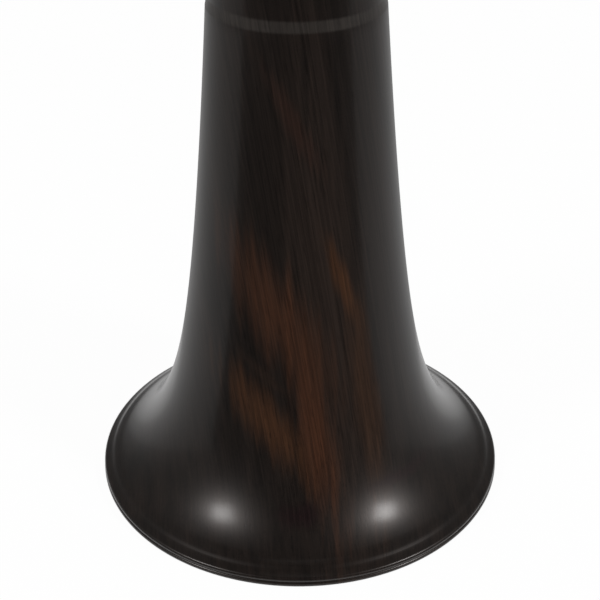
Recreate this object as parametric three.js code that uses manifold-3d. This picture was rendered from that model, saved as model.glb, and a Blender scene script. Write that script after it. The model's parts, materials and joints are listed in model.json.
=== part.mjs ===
// A bass clarinet with a straight turned bell, standing on the bell's rim.
// Millimetres, +Z up. The tone holes for the fingers face -Y, the mouthpiece points to +Y.
// Angles round the body are in degrees from the front (-Y), positive towards +X.
import * as THREE from 'three';
import { mergeVertices } from 'three/addons/utils/BufferGeometryUtils.js';
import Module from 'manifold-3d';

const wasm = await Module();
wasm.setup();

// Clearances.
const seatGap = 0.3; // between two pieces that touch on the real instrument
const runningGap = 0.4; // between hinge tubes, and between a tube and its post
const linkGap = 0.7; // between two keys that push each other
const overrun = 2; // how far a cutting tool runs past a face

// The bell. Its outer flare is a slow taper and two exponentials.
const bell = {
  rimRadius: 58,
  lipHeight: 2.6, // upright outer face of the lip
  lipRound: 0.8,
  grooveWidth: 1.8, // shallow groove that sets the lip off from the flare
  grooveDepth: 0.4,
  flareBase: 17.56,
  taperShare: 0.0202, // radius lost for each unit of height
  flareNear: 20.61, // radius that the quick flare adds at the mouth
  flareNearReach: 14.36, // height over which the quick flare dies away
  flareFar: 20.84,
  flareFarReach: 131.8,
  flareSteps: 8,
  wallMouth: 3.4,
  chamferHeight: 2.6,
  chamferDepth: 0.55,
  neckHeight: 15.5, // straight neck above the chamfer
  height: 156,
  socketDepth: 26,
};
const bore = { radius: 11.8 };
const ring = { height: 7.4, wall: 1.6, stand: 0.4 }; // metal rings round the sockets
const tenon = { radius: 15.2, clear: 0.3, corkWall: 1.1, corkEnd: 4, endGap: 1 };
const wood = { radius: 17.2 }; // plain outside of both joints
const lower = {
  length: 393, footRadius: 20.4, footHeight: 14, topRadius: 21.6, topHeight: 33, cove: 8,
};
const upper = {
  length: 315, footRadius: 19.4, footHeight: 6, topRadius: 19.4, topHeight: 27, cove: 6,
  headRoom: 28.4, // from the top down to the highest tone holes
};

// The metal neck and what sits on its end.
const neck = {
  radius: 10.6, wall: 1, tenonRadius: 12.2, tenonLength: 22, cork: 1.2, collarRadius: 17, collarHeight: 5,
  rise: 48, bendRadius: 44, run: 34, droopAngle: 12, steps: 14, endLength: 24, corkMargin: 2,
};
const mouthpiece = {
  length: 92, shankRadius: 15.2, shankLength: 22, radius: 13.6, boreDepth: 26,
  table: 9.4, // distance of the flat table from the axis
  beakStart: 46, tipWidth: 16, tipThickness: 1.6, chamberRadius: 7.4, chamberEnd: 54,
  windowWidth: 10.5, windowStart: 42, windowEnd: 84, windowEdge: 1,
};
const reed = { heelRoom: 6, width: 13.4, heel: 3.1, tip: 0.8, vamp: 36 };
const ligature = {
  wall: 0.9, length: 24, start: 27, earWidth: 3, earHeight: 7, slot: 3.6,
  screwRadius: 1.4, screwHole: 1.8, screwShare: 0.6, headRadius: 4, headLength: 6,
};

// Keywork.
const rod = { radius: 1.25, tubeBore: 1.65, tubeRadius: 2.5 };
const post = { footRadius: 3.3, footHeight: 1.4, stemRadius: 1.6, ballRadius: 2.9 };
const seat = { height: 2, wall: 2 }; // raised seats round the tone holes
const cup = { height: 3, side: 1.5, pad: 1.6, inset: 0.8, lift: 3, crownShare: 0.8, crownRiseShare: 0.85 };
const arm = { thick: 2, width: 5, steps: 4 };
const touch = { thick: 2, corner: 3 };
const stackBow = 1.5; // how far the arms of the finger keys bow outwards
const cluster = {
  stand: 17.4, angle: -45, width: 15.5, height: 15, gap: 2.4, stagger: 8.5, lip: 1, joinShare: 0.22,
};
const lever = { width: 4.4, rise: 5.4, touchWidth: 7.6, touchLength: 30, sweep: 5, footAngle: 4 };
const tongue = { angle: 25, width: 5, lap: 5.5, height: 7.8, root: 29 }; // linkage between the joints
const throat = {
  holeShare: 0.58, touchShare: 0.28, touchAngle: 24, touchWidth: 7, touchLength: 14, touchStand: 9.5,
};
const rocker = { width: 4.4, steps: 5, touchWidth: 8, height: 6.4 }; // keys on a pin across the body
const rockers = {
  throat_a: { angle: 0, pinShare: 0.845, touchShare: 0.78, touchLength: 14, touchStand: 8.4 },
  register: { angle: 180, pinShare: 0.8, touchShare: 0.665, touchLength: 16, touchStand: 8.4 },
  c_sharp_g_sharp: { angle: 112, pinShare: 0.31, touchShare: 0.16, touchLength: 24, touchStand: 9.4 },
};
const sideKeys = {
  angle: -44, spread: 24, radius: 6, pinShare: 0.46, touchLength: 16, touchStand: 8,
  longHoleShare: 0.845, longTouchShare: 0.26, shortHoleShare: 0.765, shortTouchShare: 0.2,
};
const thumbRest = { share: 0.8, footWidth: 16, footHeight: 24, thick: 2.2, hook: 17, hookWidth: 14 };
const strapRing = { share: 0.1, footWidth: 12, footHeight: 16, thick: 1.8, radius: 6.5, wire: 1.5 };

// Hinge lines along the body: the angle and how far they stand off the wood.
const hinges = {
  right1: { angle: 46.6, stand: 8.3 },
  right2: { angle: 60.4, stand: 12.1 },
  right3: { angle: 74.4, stand: 14.4 },
  right4: { angle: 89.1, stand: 14.8 },
  back: { angle: 133.4, stand: 8.3 },
  left1: { angle: -46.6, stand: 8.3 },
  left2: { angle: -60.4, stand: 12.1 },
  left3: { angle: -74.4, stand: 14.4 },
  left4: { angle: -89.1, stand: 14.8 },
  left5: { angle: -104.9, stand: 13.8 },
};

// Heights where the joints begin, and places along them.
const shoulder = bell.height - bell.neckHeight - bell.chamferHeight;
const lowerFoot = bell.height;
const upperFoot = lowerFoot + lower.length;
const bodyTop = upperFoot + upper.length;
const onLower = (share) => lowerFoot + share * lower.length;
const onUpper = (share) => upperFoot + share * upper.length;

// Numbers of flats round a circle.
const fine = 32;
const medium = 20;
const cupFlats = 10;
const coarse = 8;
const small = 6;

const materials = {
  wood: new THREE.MeshStandardMaterial({ color: 0x2a1d18, roughness: 0.45, metalness: 0 }),
  silver: new THREE.MeshStandardMaterial({ color: 0xc9ccd0, roughness: 0.25, metalness: 1 }),
  steel: new THREE.MeshStandardMaterial({ color: 0x9a9da1, roughness: 0.35, metalness: 1 }),
  cork: new THREE.MeshStandardMaterial({ color: 0xb58a5a, roughness: 0.9, metalness: 0 }),
  ebonite: new THREE.MeshStandardMaterial({ color: 0x121212, roughness: 0.3, metalness: 0 }),
  cane: new THREE.MeshStandardMaterial({ color: 0xd9b878, roughness: 0.6, metalness: 0 }),
};

// Turns a closed geometry into a solid with its faces outwards.
function solid(geometry) {
  const bare = new THREE.BufferGeometry();
  bare.setAttribute('position', geometry.getAttribute('position').clone());
  if (geometry.index) bare.setIndex(geometry.index.clone());
  const merged = mergeVertices(bare, 1e-4);
  const index = merged.index.array;
  const triangles = [];
  for (let i = 0; i < index.length; i += 3) {
    const [a, b, c] = [index[i], index[i + 1], index[i + 2]];
    if (a !== b && b !== c && c !== a) triangles.push(a, b, c);
  }
  const make = (list) => new wasm.Manifold(new wasm.Mesh({
    numProp: 3,
    vertProperties: new Float32Array(merged.attributes.position.array),
    triVerts: new Uint32Array(list),
  }));
  const made = make(triangles);
  return made.volume() < 0 ? make(triangles.reverse()) : made;
}

function geometryOf(manifold) {
  const mesh = manifold.getMesh();
  const geometry = new THREE.BufferGeometry();
  geometry.setAttribute('position', new THREE.BufferAttribute(new Float32Array(mesh.vertProperties), 3));
  geometry.setIndex(new THREE.BufferAttribute(new Uint32Array(mesh.triVerts), 1));
  geometry.computeVertexNormals();
  return geometry;
}

const join = (...solids) => solids.reduce((sum, next) => sum.add(next));
const cut = (body, ...tools) => tools.reduce((left, tool) => left.subtract(tool), body);

// The point at an angle and a distance from the body's axis.
function polar(angle, r) {
  const turn = THREE.MathUtils.degToRad(angle);
  return new THREE.Vector2(r * Math.sin(turn), -r * Math.cos(turn));
}

// Directions on the body's side at an angle: across it, up it and outwards.
function directions(angle) {
  const turn = THREE.MathUtils.degToRad(angle);
  return {
    across: new THREE.Vector3(Math.cos(turn), Math.sin(turn), 0),
    up: new THREE.Vector3(0, 0, 1),
    out: new THREE.Vector3(Math.sin(turn), -Math.cos(turn), 0),
  };
}

// Sets a geometry with x across, y up and z outwards on the body's side.
function onSide(geometry, angle, r, z) {
  const { across, up, out } = directions(angle);
  const place = new THREE.Matrix4().makeBasis(across, up, out);
  place.setPosition(out.multiplyScalar(r).setZ(z));
  return geometry.applyMatrix4(place);
}

// Sets a geometry with x up, y outwards and z across in the plane through the body's axis.
function inSection(geometry, angle) {
  const { across, up, out } = directions(angle);
  return geometry.applyMatrix4(new THREE.Matrix4().makeBasis(up, out, across));
}

// A turned piece round +Z from [radius, height] pairs.
function turned(profile, flats) {
  const points = profile.map(([r, h]) => new THREE.Vector2(r, h));
  return new THREE.LatheGeometry(points, flats).rotateX(Math.PI / 2);
}

const barrel = (radius, from, to, flats) =>
  turned([[0, from], [radius, from], [radius, to], [0, to]], flats);

const sleeve = (inner, outer, from, to, flats) =>
  turned([[inner, from], [outer, from], [outer, to], [inner, to], [inner, from]], flats);

// The outline of a bar of even thickness that follows a flat curve.
function ribbon(curve, thick, steps) {
  const left = [];
  const right = [];
  for (let i = 0; i <= steps; i++) {
    const point = curve.getPoint(i / steps);
    const side = curve.getTangent(i / steps).rotateAround(new THREE.Vector2(), Math.PI / 2);
    left.push(point.clone().addScaledVector(side, thick / 2));
    right.unshift(point.clone().addScaledVector(side, -thick / 2));
  }
  return new THREE.Shape([...left, ...right]);
}

const extrude = (shape, depth) => new THREE.ExtrudeGeometry(shape, { depth, bevelEnabled: false });

// A bar square to the body's axis, from one point to another, bowed outwards.
function strap(from, to, bow, z, width = arm.width) {
  const middle = from.clone().add(to).multiplyScalar(0.5);
  const control = middle.clone().addScaledVector(middle.clone().normalize(), 2 * bow);
  const curve = new THREE.QuadraticBezierCurve(from, control, to);
  return solid(extrude(ribbon(curve, arm.thick, arm.steps), width).translate(0, 0, z - width / 2));
}

// A rounded touch plate, drawn flat and centred, with a bevelled edge.
function plate(width, height) {
  const bevel = touch.thick / 4;
  const w = width / 2 - bevel;
  const h = height / 2 - bevel;
  const c = Math.min(touch.corner, w, h);
  const shape = new THREE.Shape();
  shape.moveTo(c - w, -h).lineTo(w - c, -h).quadraticCurveTo(w, -h, w, c - h)
    .lineTo(w, h - c).quadraticCurveTo(w, h, w - c, h)
    .lineTo(c - w, h).quadraticCurveTo(-w, h, -w, h - c)
    .lineTo(-w, c - h).quadraticCurveTo(-w, -h, c - w, -h);
  return new THREE.ExtrudeGeometry(shape, {
    depth: touch.thick - 2 * bevel, bevelThickness: bevel, bevelSize: bevel, bevelSegments: 1, curveSegments: 1,
  }).translate(0, 0, bevel);
}

const root = new THREE.Group();

function addPiece(name, body, material, parent = root) {
  const mesh = new THREE.Mesh(geometryOf(body), material);
  mesh.name = name;
  parent.add(mesh);
  return mesh;
}

// The bell.
const socketRadius = tenon.radius + tenon.corkWall + tenon.clear;

function flare(z) {
  return bell.flareBase - bell.taperShare * z + bell.flareNear * Math.exp(-z / bell.flareNearReach)
    + bell.flareFar * Math.exp(-z / bell.flareFarReach);
}

function makeBell() {
  const lipInside = bell.rimRadius - bell.lipRound;
  const flareStart = bell.lipHeight + bell.lipRound;
  const topRadius = flare(shoulder) - bell.chamferDepth;
  const ringFoot = bell.height - ring.height;
  const outside = [
    [lipInside, 0], [bell.rimRadius, bell.lipRound], [bell.rimRadius, bell.lipHeight - bell.lipRound],
    [lipInside, bell.lipHeight], [lipInside - bell.grooveWidth / 2, bell.lipHeight - bell.grooveDepth / 2],
  ];
  const steps = bell.flareSteps;
  for (let i = 0; i <= steps; i++) {
    // The steps are short near the mouth, where the flare turns fastest.
    const z = flareStart + (shoulder - flareStart) * (i / steps) ** 2;
    outside.push([Math.min(flare(z), lipInside - bell.grooveWidth), z]);
  }
  outside.push([topRadius, shoulder + bell.chamferHeight], [topRadius, ringFoot]);
  outside.push([topRadius - ring.wall, ringFoot], [topRadius - ring.wall, bell.height]);
  const socketFloor = bell.height - bell.socketDepth;
  const inside = [[socketRadius, bell.height], [socketRadius, socketFloor], [bore.radius, socketFloor]];
  const mouthInner = bell.rimRadius - bell.wallMouth;
  const spread = (mouthInner - bore.radius) / (flare(0) - flare(socketFloor));
  for (let i = steps - 1; i >= 0; i--) {
    const z = socketFloor * (i / steps) ** 2;
    inside.push([bore.radius + (flare(z) - flare(socketFloor)) * spread, z]);
  }
  const profile = [...outside, ...inside];
  addPiece('bell', solid(turned([...profile, profile[0]], fine)), materials.wood);
  addRing('bell_socket_ring', topRadius, bell.height);
}

// A metal ring let into the outside of a socket's open end.
function addRing(name, woodRadius, top) {
  const inner = woodRadius - ring.wall + seatGap;
  addPiece(name, solid(sleeve(inner, woodRadius + ring.stand, top - ring.height + seatGap, top, medium)),
    materials.silver);
}

// The turned outside of a joint's wood: foot bulge, plain body, socket bulge, seat for the ring.
function jointProfile(size, foot) {
  const top = foot + size.length;
  const coved = (from, to, z, height) => {
    const points = [];
    for (let i = 1; i <= 2; i++) {
      const share = i / 2;
      points.push([from + (to - from) * Math.sin(share * Math.PI / 2) ** 2, z + height * share]);
    }
    return points;
  };
  return [
    [size.footRadius, foot], [size.footRadius, foot + size.footHeight],
    ...coved(size.footRadius, wood.radius, foot + size.footHeight, size.cove),
    [wood.radius, top - size.topHeight - size.cove],
    ...coved(wood.radius, size.topRadius, top - size.topHeight - size.cove, size.cove),
    [size.topRadius, top - ring.height], [size.topRadius - ring.wall, top - ring.height],
    [size.topRadius - ring.wall, top],
  ];
}

// A raised seat for a pad, and the drill for its tone hole.
const seatTop = wood.radius + seat.height;
const cupTop = seatTop + seatGap + cup.pad + cup.height;
const seatRadius = (hole) => hole.radius - cup.inset - seatGap;

const seatSolid = (hole) =>
  solid(onSide(barrel(seatRadius(hole), bore.radius + seat.wall, seatTop, coarse), hole.angle, 0, hole.z));

const drill = (hole) =>
  solid(onSide(barrel(seatRadius(hole) - seat.wall, 0, seatTop + overrun, small), hole.angle, 0, hole.z));

function makeJoint(name, size, foot, socket, holes) {
  const top = foot + size.length;
  const tenonFoot = foot - bell.socketDepth + tenon.endGap;
  const floor = top - socket.depth;
  const profile = [[tenon.radius, tenonFoot], [tenon.radius, foot], ...jointProfile(size, foot),
    [socket.radius, top], [socket.radius, floor], [bore.radius, floor], [bore.radius, tenonFoot]];
  const blank = solid(turned([...profile, profile[0]], medium));
  // The tenon is turned down under its cork.
  const corkFoot = tenonFoot + tenon.corkEnd;
  const corkTop = foot - tenon.corkEnd;
  const corkInner = tenon.radius - tenon.corkWall;
  const groove = sleeve(corkInner, tenon.radius + overrun, corkFoot - seatGap, corkTop + seatGap, medium);
  const seated = join(blank, ...holes.map(seatSolid));
  addPiece(name, cut(seated, ...holes.map(drill), solid(groove)), materials.wood);
  const cork = sleeve(corkInner + seatGap, tenon.radius + tenon.corkWall, corkFoot, corkTop, medium);
  addPiece(`${name}_tenon_cork`, solid(cork), materials.cork);
  addRing(`${name}_socket_ring`, size.topRadius, top);
}

// A post on the wood: a flat foot, a stem, and a round head that holds the rod at its reach.
function postSolid(angle, z, reach) {
  const seatedAt = wood.radius + seatGap;
  const footTop = seatedAt + post.footHeight;
  const neckAt = reach - post.ballRadius;
  const profile = [
    [0, seatedAt], [post.footRadius, seatedAt], [post.stemRadius, footTop], [post.stemRadius, neckAt],
    [post.ballRadius, reach - post.ballRadius / 2], [post.ballRadius, reach + post.ballRadius / 2],
    [0, reach + post.ballRadius],
  ];
  return solid(onSide(turned(profile, small), angle, 0, z));
}

const hingeReach = (hinge) => wood.radius + hinge.stand;
const hingePoint = (hinge) => polar(hinge.angle, hingeReach(hinge));
const postOffset = runningGap + post.ballRadius; // from a tube's end to the middle of its post

// A hinge's rod and the posts that hold it, for tubes from one height to another.
function makePivot(name, hinge, from, to) {
  const point = hingePoint(hinge);
  const low = from - postOffset;
  const high = to + postOffset;
  const pin = solid(barrel(rod.radius, low, high, small).translate(point.x, point.y, 0));
  const posts = [low, high].map((z) => postSolid(hinge.angle, z, hingeReach(hinge)));
  addPiece(name, join(pin, ...posts), materials.steel);
}

// A pad cup on its seat.
function cupSolid(hole) {
  const inside = hole.radius - cup.inset;
  const profile = [
    [0, 0], [inside, 0], [inside, cup.pad], [hole.radius, cup.pad], [hole.radius, cup.pad + cup.side],
    [inside * cup.crownShare, cup.pad + cup.height * cup.crownRiseShare], [0, cup.pad + cup.height],
  ];
  return solid(onSide(turned(profile, cupFlats), hole.angle, seatTop + seatGap, hole.z));
}

// Hangs a key on its axis. A positive turn of its joint presses it; the rest angle holds it up.
function hang(name, body, position, axis, swing, restTurn) {
  const geometry = geometryOf(body).translate(-position.x, -position.y, -position.z);
  const mesh = new THREE.Mesh(geometry, materials.silver);
  mesh.name = name;
  mesh.position.copy(position);
  if (restTurn) mesh.quaternion.setFromAxisAngle(axis, -swing);
  mesh.userData.joint = { axis: axis.toArray(), swing: THREE.MathUtils.radToDeg(swing) };
  root.add(mesh);
}

// A key on a tube along the body. It presses at the cup, or at the foot that lies on another key.
function makeTubeKey(name, { hinge, from, to, hole, foot, extras = [], bow = 0, open = true }) {
  const point = hingePoint(hinge);
  const tube = solid(sleeve(rod.tubeBore, rod.tubeRadius, from, to, coarse).translate(point.x, point.y, 0));
  const hollow = solid(barrel(rod.tubeBore, from - overrun, to + overrun, coarse)
    .translate(point.x, point.y, 0));
  const end = hole ?? foot;
  const tip = polar(end.angle, hole ? cupTop : cupTop + linkGap + arm.thick / 2);
  const pieces = [tube, strap(point, tip, bow, end.z), ...extras];
  if (hole) pieces.push(cupSolid(hole));
  const target = polar(hole ? hole.angle : 0, seatTop).sub(point);
  const outwards = polar(hole ? hole.angle : 0, 1);
  const opening = Math.sign(target.x * outwards.y - target.y * outwards.x);
  const axis = new THREE.Vector3(0, 0, open ? -opening : opening);
  const swing = Math.asin(cup.lift / target.length());
  hang(name, cut(join(...pieces), hollow), new THREE.Vector3(point.x, point.y, 0), axis, swing, open);
}

// A bar in the plane through the body's axis, through points of height and stand-off.
function sectionBar(angle, points, width) {
  const curve = new THREE.SplineCurve(points.map(([z, r]) => new THREE.Vector2(z, r)));
  const bar = extrude(ribbon(curve, arm.thick, rocker.steps), width).translate(0, 0, -width / 2);
  return solid(inSection(bar, angle));
}

// A pin or hole across the body at an angle and height.
const crossPin = (angle, z, r, radius, half, flats) =>
  solid(onSide(turned([[0, -half], [radius, -half], [radius, half], [0, half]], flats).rotateY(Math.PI / 2),
    angle, r, z));

// A key that rocks on a pin across the body: touch at one end, cup at the other.
function makeRocker(name, hole, { angle, pinShare, touchShare, touchLength, touchStand }) {
  const z = onUpper(pinShare);
  const touchZ = onUpper(touchShare);
  const r = wood.radius + rocker.height;
  const touchR = wood.radius + touchStand;
  const bar = sectionBar(angle, [[touchZ, touchR], [z, r], [hole.z, cupTop]], rocker.width);
  const boss = crossPin(angle, z, r, rod.tubeRadius, rocker.width / 2, coarse);
  const hollow = crossPin(angle, z, r, rod.tubeBore, rocker.width / 2 + overrun, coarse);
  const pad = solid(onSide(plate(rocker.touchWidth, touchLength), angle, touchR, touchZ));
  const body = cut(join(bar, boss, pad, cupSolid(hole)), hollow);
  const { across, out } = directions(angle);
  const axis = across.multiplyScalar(Math.sign(hole.z - z));
  hang(name, body, out.multiplyScalar(r).setZ(z), axis, Math.asin(cup.lift / Math.abs(hole.z - z)), false);
}

// The pins and posts that carry rockers side by side at one height.
function makeCradle(name, angles, pinShare) {
  const z = onUpper(pinShare);
  const r = wood.radius + rocker.height;
  const half = rocker.width / 2 + runningGap + post.stemRadius;
  const pins = [];
  const posts = new Map();
  for (const angle of angles) {
    const turn = angles.length > 1 ? sideKeys.spread / 2 : THREE.MathUtils.radToDeg(Math.atan(half / r));
    const reach = r / Math.cos(THREE.MathUtils.degToRad(turn));
    const pinHalf = r * Math.tan(THREE.MathUtils.degToRad(turn));
    pins.push(crossPin(angle, z, r, rod.radius, pinHalf, small));
    for (const side of [-turn, turn]) posts.set(Math.round(angle + side), slimPost(angle + side, z, reach));
  }
  addPiece(name, join(...pins, ...posts.values()), materials.steel);
}

function slimPost(angle, z, reach) {
  const seatedAt = wood.radius + seatGap;
  const footTop = seatedAt + post.footHeight;
  const profile = [
    [0, seatedAt], [(post.stemRadius + post.footRadius) / 2, seatedAt], [post.stemRadius, footTop],
    [post.stemRadius, reach + post.stemRadius], [0, reach + post.stemRadius],
  ];
  return solid(onSide(turned(profile, small), angle, 0, z));
}

// Tone holes: the height of each is a share of its joint's length.
const lowerHoles = {
  rh_index: { shares: 0.8244, angle: 0, radius: 9.5 },
  rh_middle: { shares: 0.7405, angle: 0, radius: 9.5 },
  rh_ring: { shares: 0.6565, angle: 0, radius: 9.5 },
  a_flat_e_flat: { shares: 0.5496, angle: -82, radius: 8 },
  f_sharp_c_sharp: { shares: 0.4453, angle: 0, radius: 10.5 },
  f_c: { shares: 0.3359, angle: 0, radius: 11 },
  e_b: { shares: 0.2214, angle: 0, radius: 11.5 },
  low_e_flat: { shares: 0.112, angle: -38, radius: 12 },
};
const upperHoles = {
  bridge: { shares: 0.3365, angle: 0, radius: 8 },
  lh_ring: { shares: 0.4762, angle: 0, radius: 9 },
  lh_middle: { shares: 0.581, angle: 0, radius: 9 },
  lh_index: { shares: 0.6857, angle: 0, radius: 9 },
  thumb: { shares: 0.59, angle: 180, radius: 9 },
  c_sharp_g_sharp: { shares: 0.432, angle: rockers.c_sharp_g_sharp.angle, radius: 7 },
};
for (let i = 0; i < 4; i++) {
  const shares = i % 2 ? sideKeys.shortHoleShare : sideKeys.longHoleShare;
  const angle = sideKeys.angle - i * sideKeys.spread;
  upperHoles[`side_${i + 1}`] = { shares, angle, radius: sideKeys.radius };
}
for (const hole of Object.values(lowerHoles)) hole.z = onLower(hole.shares);
for (const hole of Object.values(upperHoles)) hole.z = onUpper(hole.shares);

// The throat keys' and the register key's holes keep their room under the neck's socket. The throat
// G sharp key fills what is left between the left hand's keys and the socket.
const headZ = bodyTop - upper.headRoom;
const postRoom = postOffset + post.footRadius; // from a tube's end to the far side of its post
const leftPitch = upperHoles.lh_index.z - upperHoles.lh_middle.z;
const throatFrom = upperHoles.lh_index.z + leftPitch / 2 + 2 * postRoom;
const throatTo = bodyTop - upper.topHeight - upper.cove - postRoom - runningGap;
const throatAt = (share) => throatFrom + share * (throatTo - throatFrom);
upperHoles.throat_g_sharp = { z: throatAt(throat.holeShare), angle: 86, radius: 6 };
upperHoles.throat_a = { z: headZ, angle: rockers.throat_a.angle, radius: 6 };
upperHoles.register = { z: headZ, angle: rockers.register.angle, radius: 5.5 };

const neckSocket = {
  radius: neck.tenonRadius + seatGap + neck.cork + tenon.clear,
  depth: neck.tenonLength + tenon.endGap,
};
const jointSocket = { radius: socketRadius, depth: bell.socketDepth };

makeBell();
makeJoint('lower_joint', lower, lowerFoot, jointSocket, Object.values(lowerHoles));
makeJoint('upper_joint', upper, upperFoot, neckSocket, Object.values(upperHoles));

// Three keys in a row on one rod, each tube reaching half-way to the next.
function makeStack(pivotName, hinge, rows, extras = {}) {
  const pitch = rows[1][1].z - rows[0][1].z;
  const half = (pitch - runningGap) / 2;
  for (const [name, hole] of rows) {
    const ends = { from: hole.z - half, to: hole.z + half };
    makeTubeKey(name, { hinge, ...ends, hole, bow: stackBow, extras: extras[name] });
  }
  makePivot(pivotName, hinge, rows[0][1].z - half, rows.at(-1)[1].z + half);
}

// The tongues that let the right index finger's key close the bridge key on the upper joint.
function tongueBar(low, high, r) {
  const bar = new THREE.Shape();
  bar.moveTo(-tongue.width / 2, low).lineTo(tongue.width / 2, low).lineTo(tongue.width / 2, high)
    .lineTo(-tongue.width / 2, high);
  return solid(onSide(extrude(bar, arm.thick), tongue.angle, r, 0));
}
const outerTongue = wood.radius + tongue.height;
const innerTongue = outerTongue - linkGap - arm.thick;
const tongueLow = upperFoot + overrun;
const tongueTop = tongueLow + tongue.lap;
const bridgeFrom = upperFoot + tongue.root - arm.width;

makeStack('rh_stack_pivot', hinges.right1, [
  ['rh_ring_key', lowerHoles.rh_ring],
  ['rh_middle_key', lowerHoles.rh_middle],
  ['rh_index_key', lowerHoles.rh_index],
], { rh_index_key: [tongueBar(lowerHoles.rh_index.z - arm.width / 2, tongueTop, outerTongue)] });

makeStack('lh_stack_pivot', hinges.right1, [
  ['lh_ring_key', upperHoles.lh_ring],
  ['lh_middle_key', upperHoles.lh_middle],
  ['lh_index_key', upperHoles.lh_index],
]);

// A single key with its own pivot.
function makeHinged(name, key) {
  makeTubeKey(name, key);
  makePivot(name.replace(/_key$|_lever$/, (word) => `${word}_pivot`), key.hinge, key.from, key.to);
}

makeHinged('bridge_key', {
  hinge: hinges.right1, from: bridgeFrom, to: upperHoles.bridge.z + arm.width, hole: upperHoles.bridge,
  bow: stackBow,
  extras: [
    tongueBar(tongueLow, upperFoot + tongue.root, innerTongue),
    strap(hingePoint(hinges.right1), polar(tongue.angle, innerTongue + arm.thick / 2), 0,
      upperFoot + tongue.root - arm.width / 2),
  ],
});

// The right little finger's cluster: two columns of touches, the outer one set higher by the stagger.
const clusterPlace = (column, row) => ({
  across: column * (cluster.width + cluster.gap) / 2,
  z: lowerHoles.a_flat_e_flat.z + row * (cluster.height + cluster.gap) + (column < 0 ? cluster.stagger : 0),
});

// A touch in the cluster with the arm that joins it to its tube.
function clusterTouch(hinge, column, row, bow) {
  const { across, z } = clusterPlace(column, row);
  const height = wood.radius + cluster.stand;
  const pad = plate(cluster.width, cluster.height).translate(across, 0, 0);
  const side = directions(cluster.angle);
  const joinAt = across - cluster.width * cluster.joinShare;
  const end = new THREE.Vector2(side.out.x, side.out.y).multiplyScalar(height + arm.thick / 2)
    .addScaledVector(new THREE.Vector2(side.across.x, side.across.y), joinAt);
  const armZ = z - cluster.height / 2 + arm.width / 2 + cluster.lip;
  return [solid(onSide(pad, cluster.angle, height, z)), strap(hingePoint(hinge), end, bow, armZ)];
}

const postStagger = 2 * post.footRadius; // keeps the feet of neighbouring posts apart
const tubeMargin = 2 * arm.width; // how far a tube runs past its lowest arm
const clusterTop = clusterPlace(-1, 0).z + cluster.height / 2;

const clusterKeys = {
  a_flat_e_flat: { hinge: hinges.left1, column: 1, row: 0, bow: 0, touchBow: 0, open: false },
  f_sharp_c_sharp: { hinge: hinges.left2, column: -1, row: 0, bow: 3, touchBow: 0 },
  f_c: { hinge: hinges.left3, column: 1, row: -1, bow: 4, touchBow: 4 },
  e_b: { hinge: hinges.left4, column: -1, row: -1, bow: 5, touchBow: 4 },
  low_e_flat: { hinge: hinges.left5, column: -1, row: 1, bow: 3, touchBow: 7 },
};
for (const [name, key] of Object.entries(clusterKeys)) {
  const { hinge, column, row, bow, touchBow, open } = key;
  const hole = lowerHoles[name];
  const to = clusterTop + Math.max(row, 0) * (cluster.height + cluster.gap) - (column > 0 ? postStagger : 0);
  makeHinged(`${name}_key`, {
    hinge, from: hole.z - tubeMargin, to, hole, bow, open, extras: clusterTouch(hinge, column, row, touchBow),
  });
}

// The left little finger's levers: a long tube with a foot over the key it closes, and a bar that
// leaves the tube near its upper end, passes outside the socket and carries the touch.
const leverTop = upperFoot - lower.topHeight - lower.cove - postStagger;

function makeLever(name, { hinge, hole, bow, touchShare, stagger }) {
  const top = leverTop - stagger * postStagger;
  const z = top - arm.width;
  const r = hingeReach(hinge) + lever.rise;
  const touchZ = onUpper(touchShare);
  const line = new THREE.SplineCurve([
    new THREE.Vector2(0, z - arm.width / 2), new THREE.Vector2(0, upperFoot),
    new THREE.Vector2(-lever.sweep, touchZ),
  ]);
  const bar = extrude(ribbon(line, lever.width, arm.steps), arm.thick);
  const pad = plate(lever.touchWidth, lever.touchLength).translate(-lever.sweep, 0, 0);
  const lug = strap(hingePoint(hinge), polar(hinge.angle, r), 0, z);
  const under = r - arm.thick / 2;
  makeHinged(name, {
    hinge, from: hole.z - tubeMargin, to: top, foot: { angle: lever.footAngle, z: hole.z }, bow,
    extras: [
      solid(onSide(bar, hinge.angle, under, 0)), lug, solid(onSide(pad, hinge.angle, under, touchZ)),
    ],
  });
}

const levers = {
  lh_f_sharp_c_sharp_lever: {
    hinge: hinges.right2, hole: lowerHoles.f_sharp_c_sharp, bow: 7, touchShare: 0.16, stagger: 2,
  },
  lh_f_c_lever: { hinge: hinges.right3, hole: lowerHoles.f_c, bow: 10, touchShare: 0.13, stagger: 0 },
  lh_e_b_lever: { hinge: hinges.right4, hole: lowerHoles.e_b, bow: 13, touchShare: 0.1, stagger: 1 },
};
for (const [name, key] of Object.entries(levers)) makeLever(name, key);

makeHinged('thumb_key', {
  hinge: hinges.back, from: upperHoles.thumb.z - tubeMargin, to: upperHoles.thumb.z + tubeMargin,
  hole: upperHoles.thumb, bow: stackBow,
});

// The throat G sharp key: a short key whose touch and cup lie on opposite sides of its tube.
const throatTouch = plate(throat.touchWidth, throat.touchLength);
const throatTouchR = wood.radius + throat.touchStand;
makeHinged('throat_g_sharp_key', {
  hinge: hinges.right1, from: throatFrom, to: throatTo, hole: upperHoles.throat_g_sharp, open: false,
  extras: [
    solid(onSide(throatTouch, throat.touchAngle, throatTouchR, throatAt(throat.touchShare))),
    strap(hingePoint(hinges.right1), polar(throat.touchAngle, throatTouchR + arm.thick / 2), 0,
      throatAt(throat.touchShare)),
  ],
});

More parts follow.
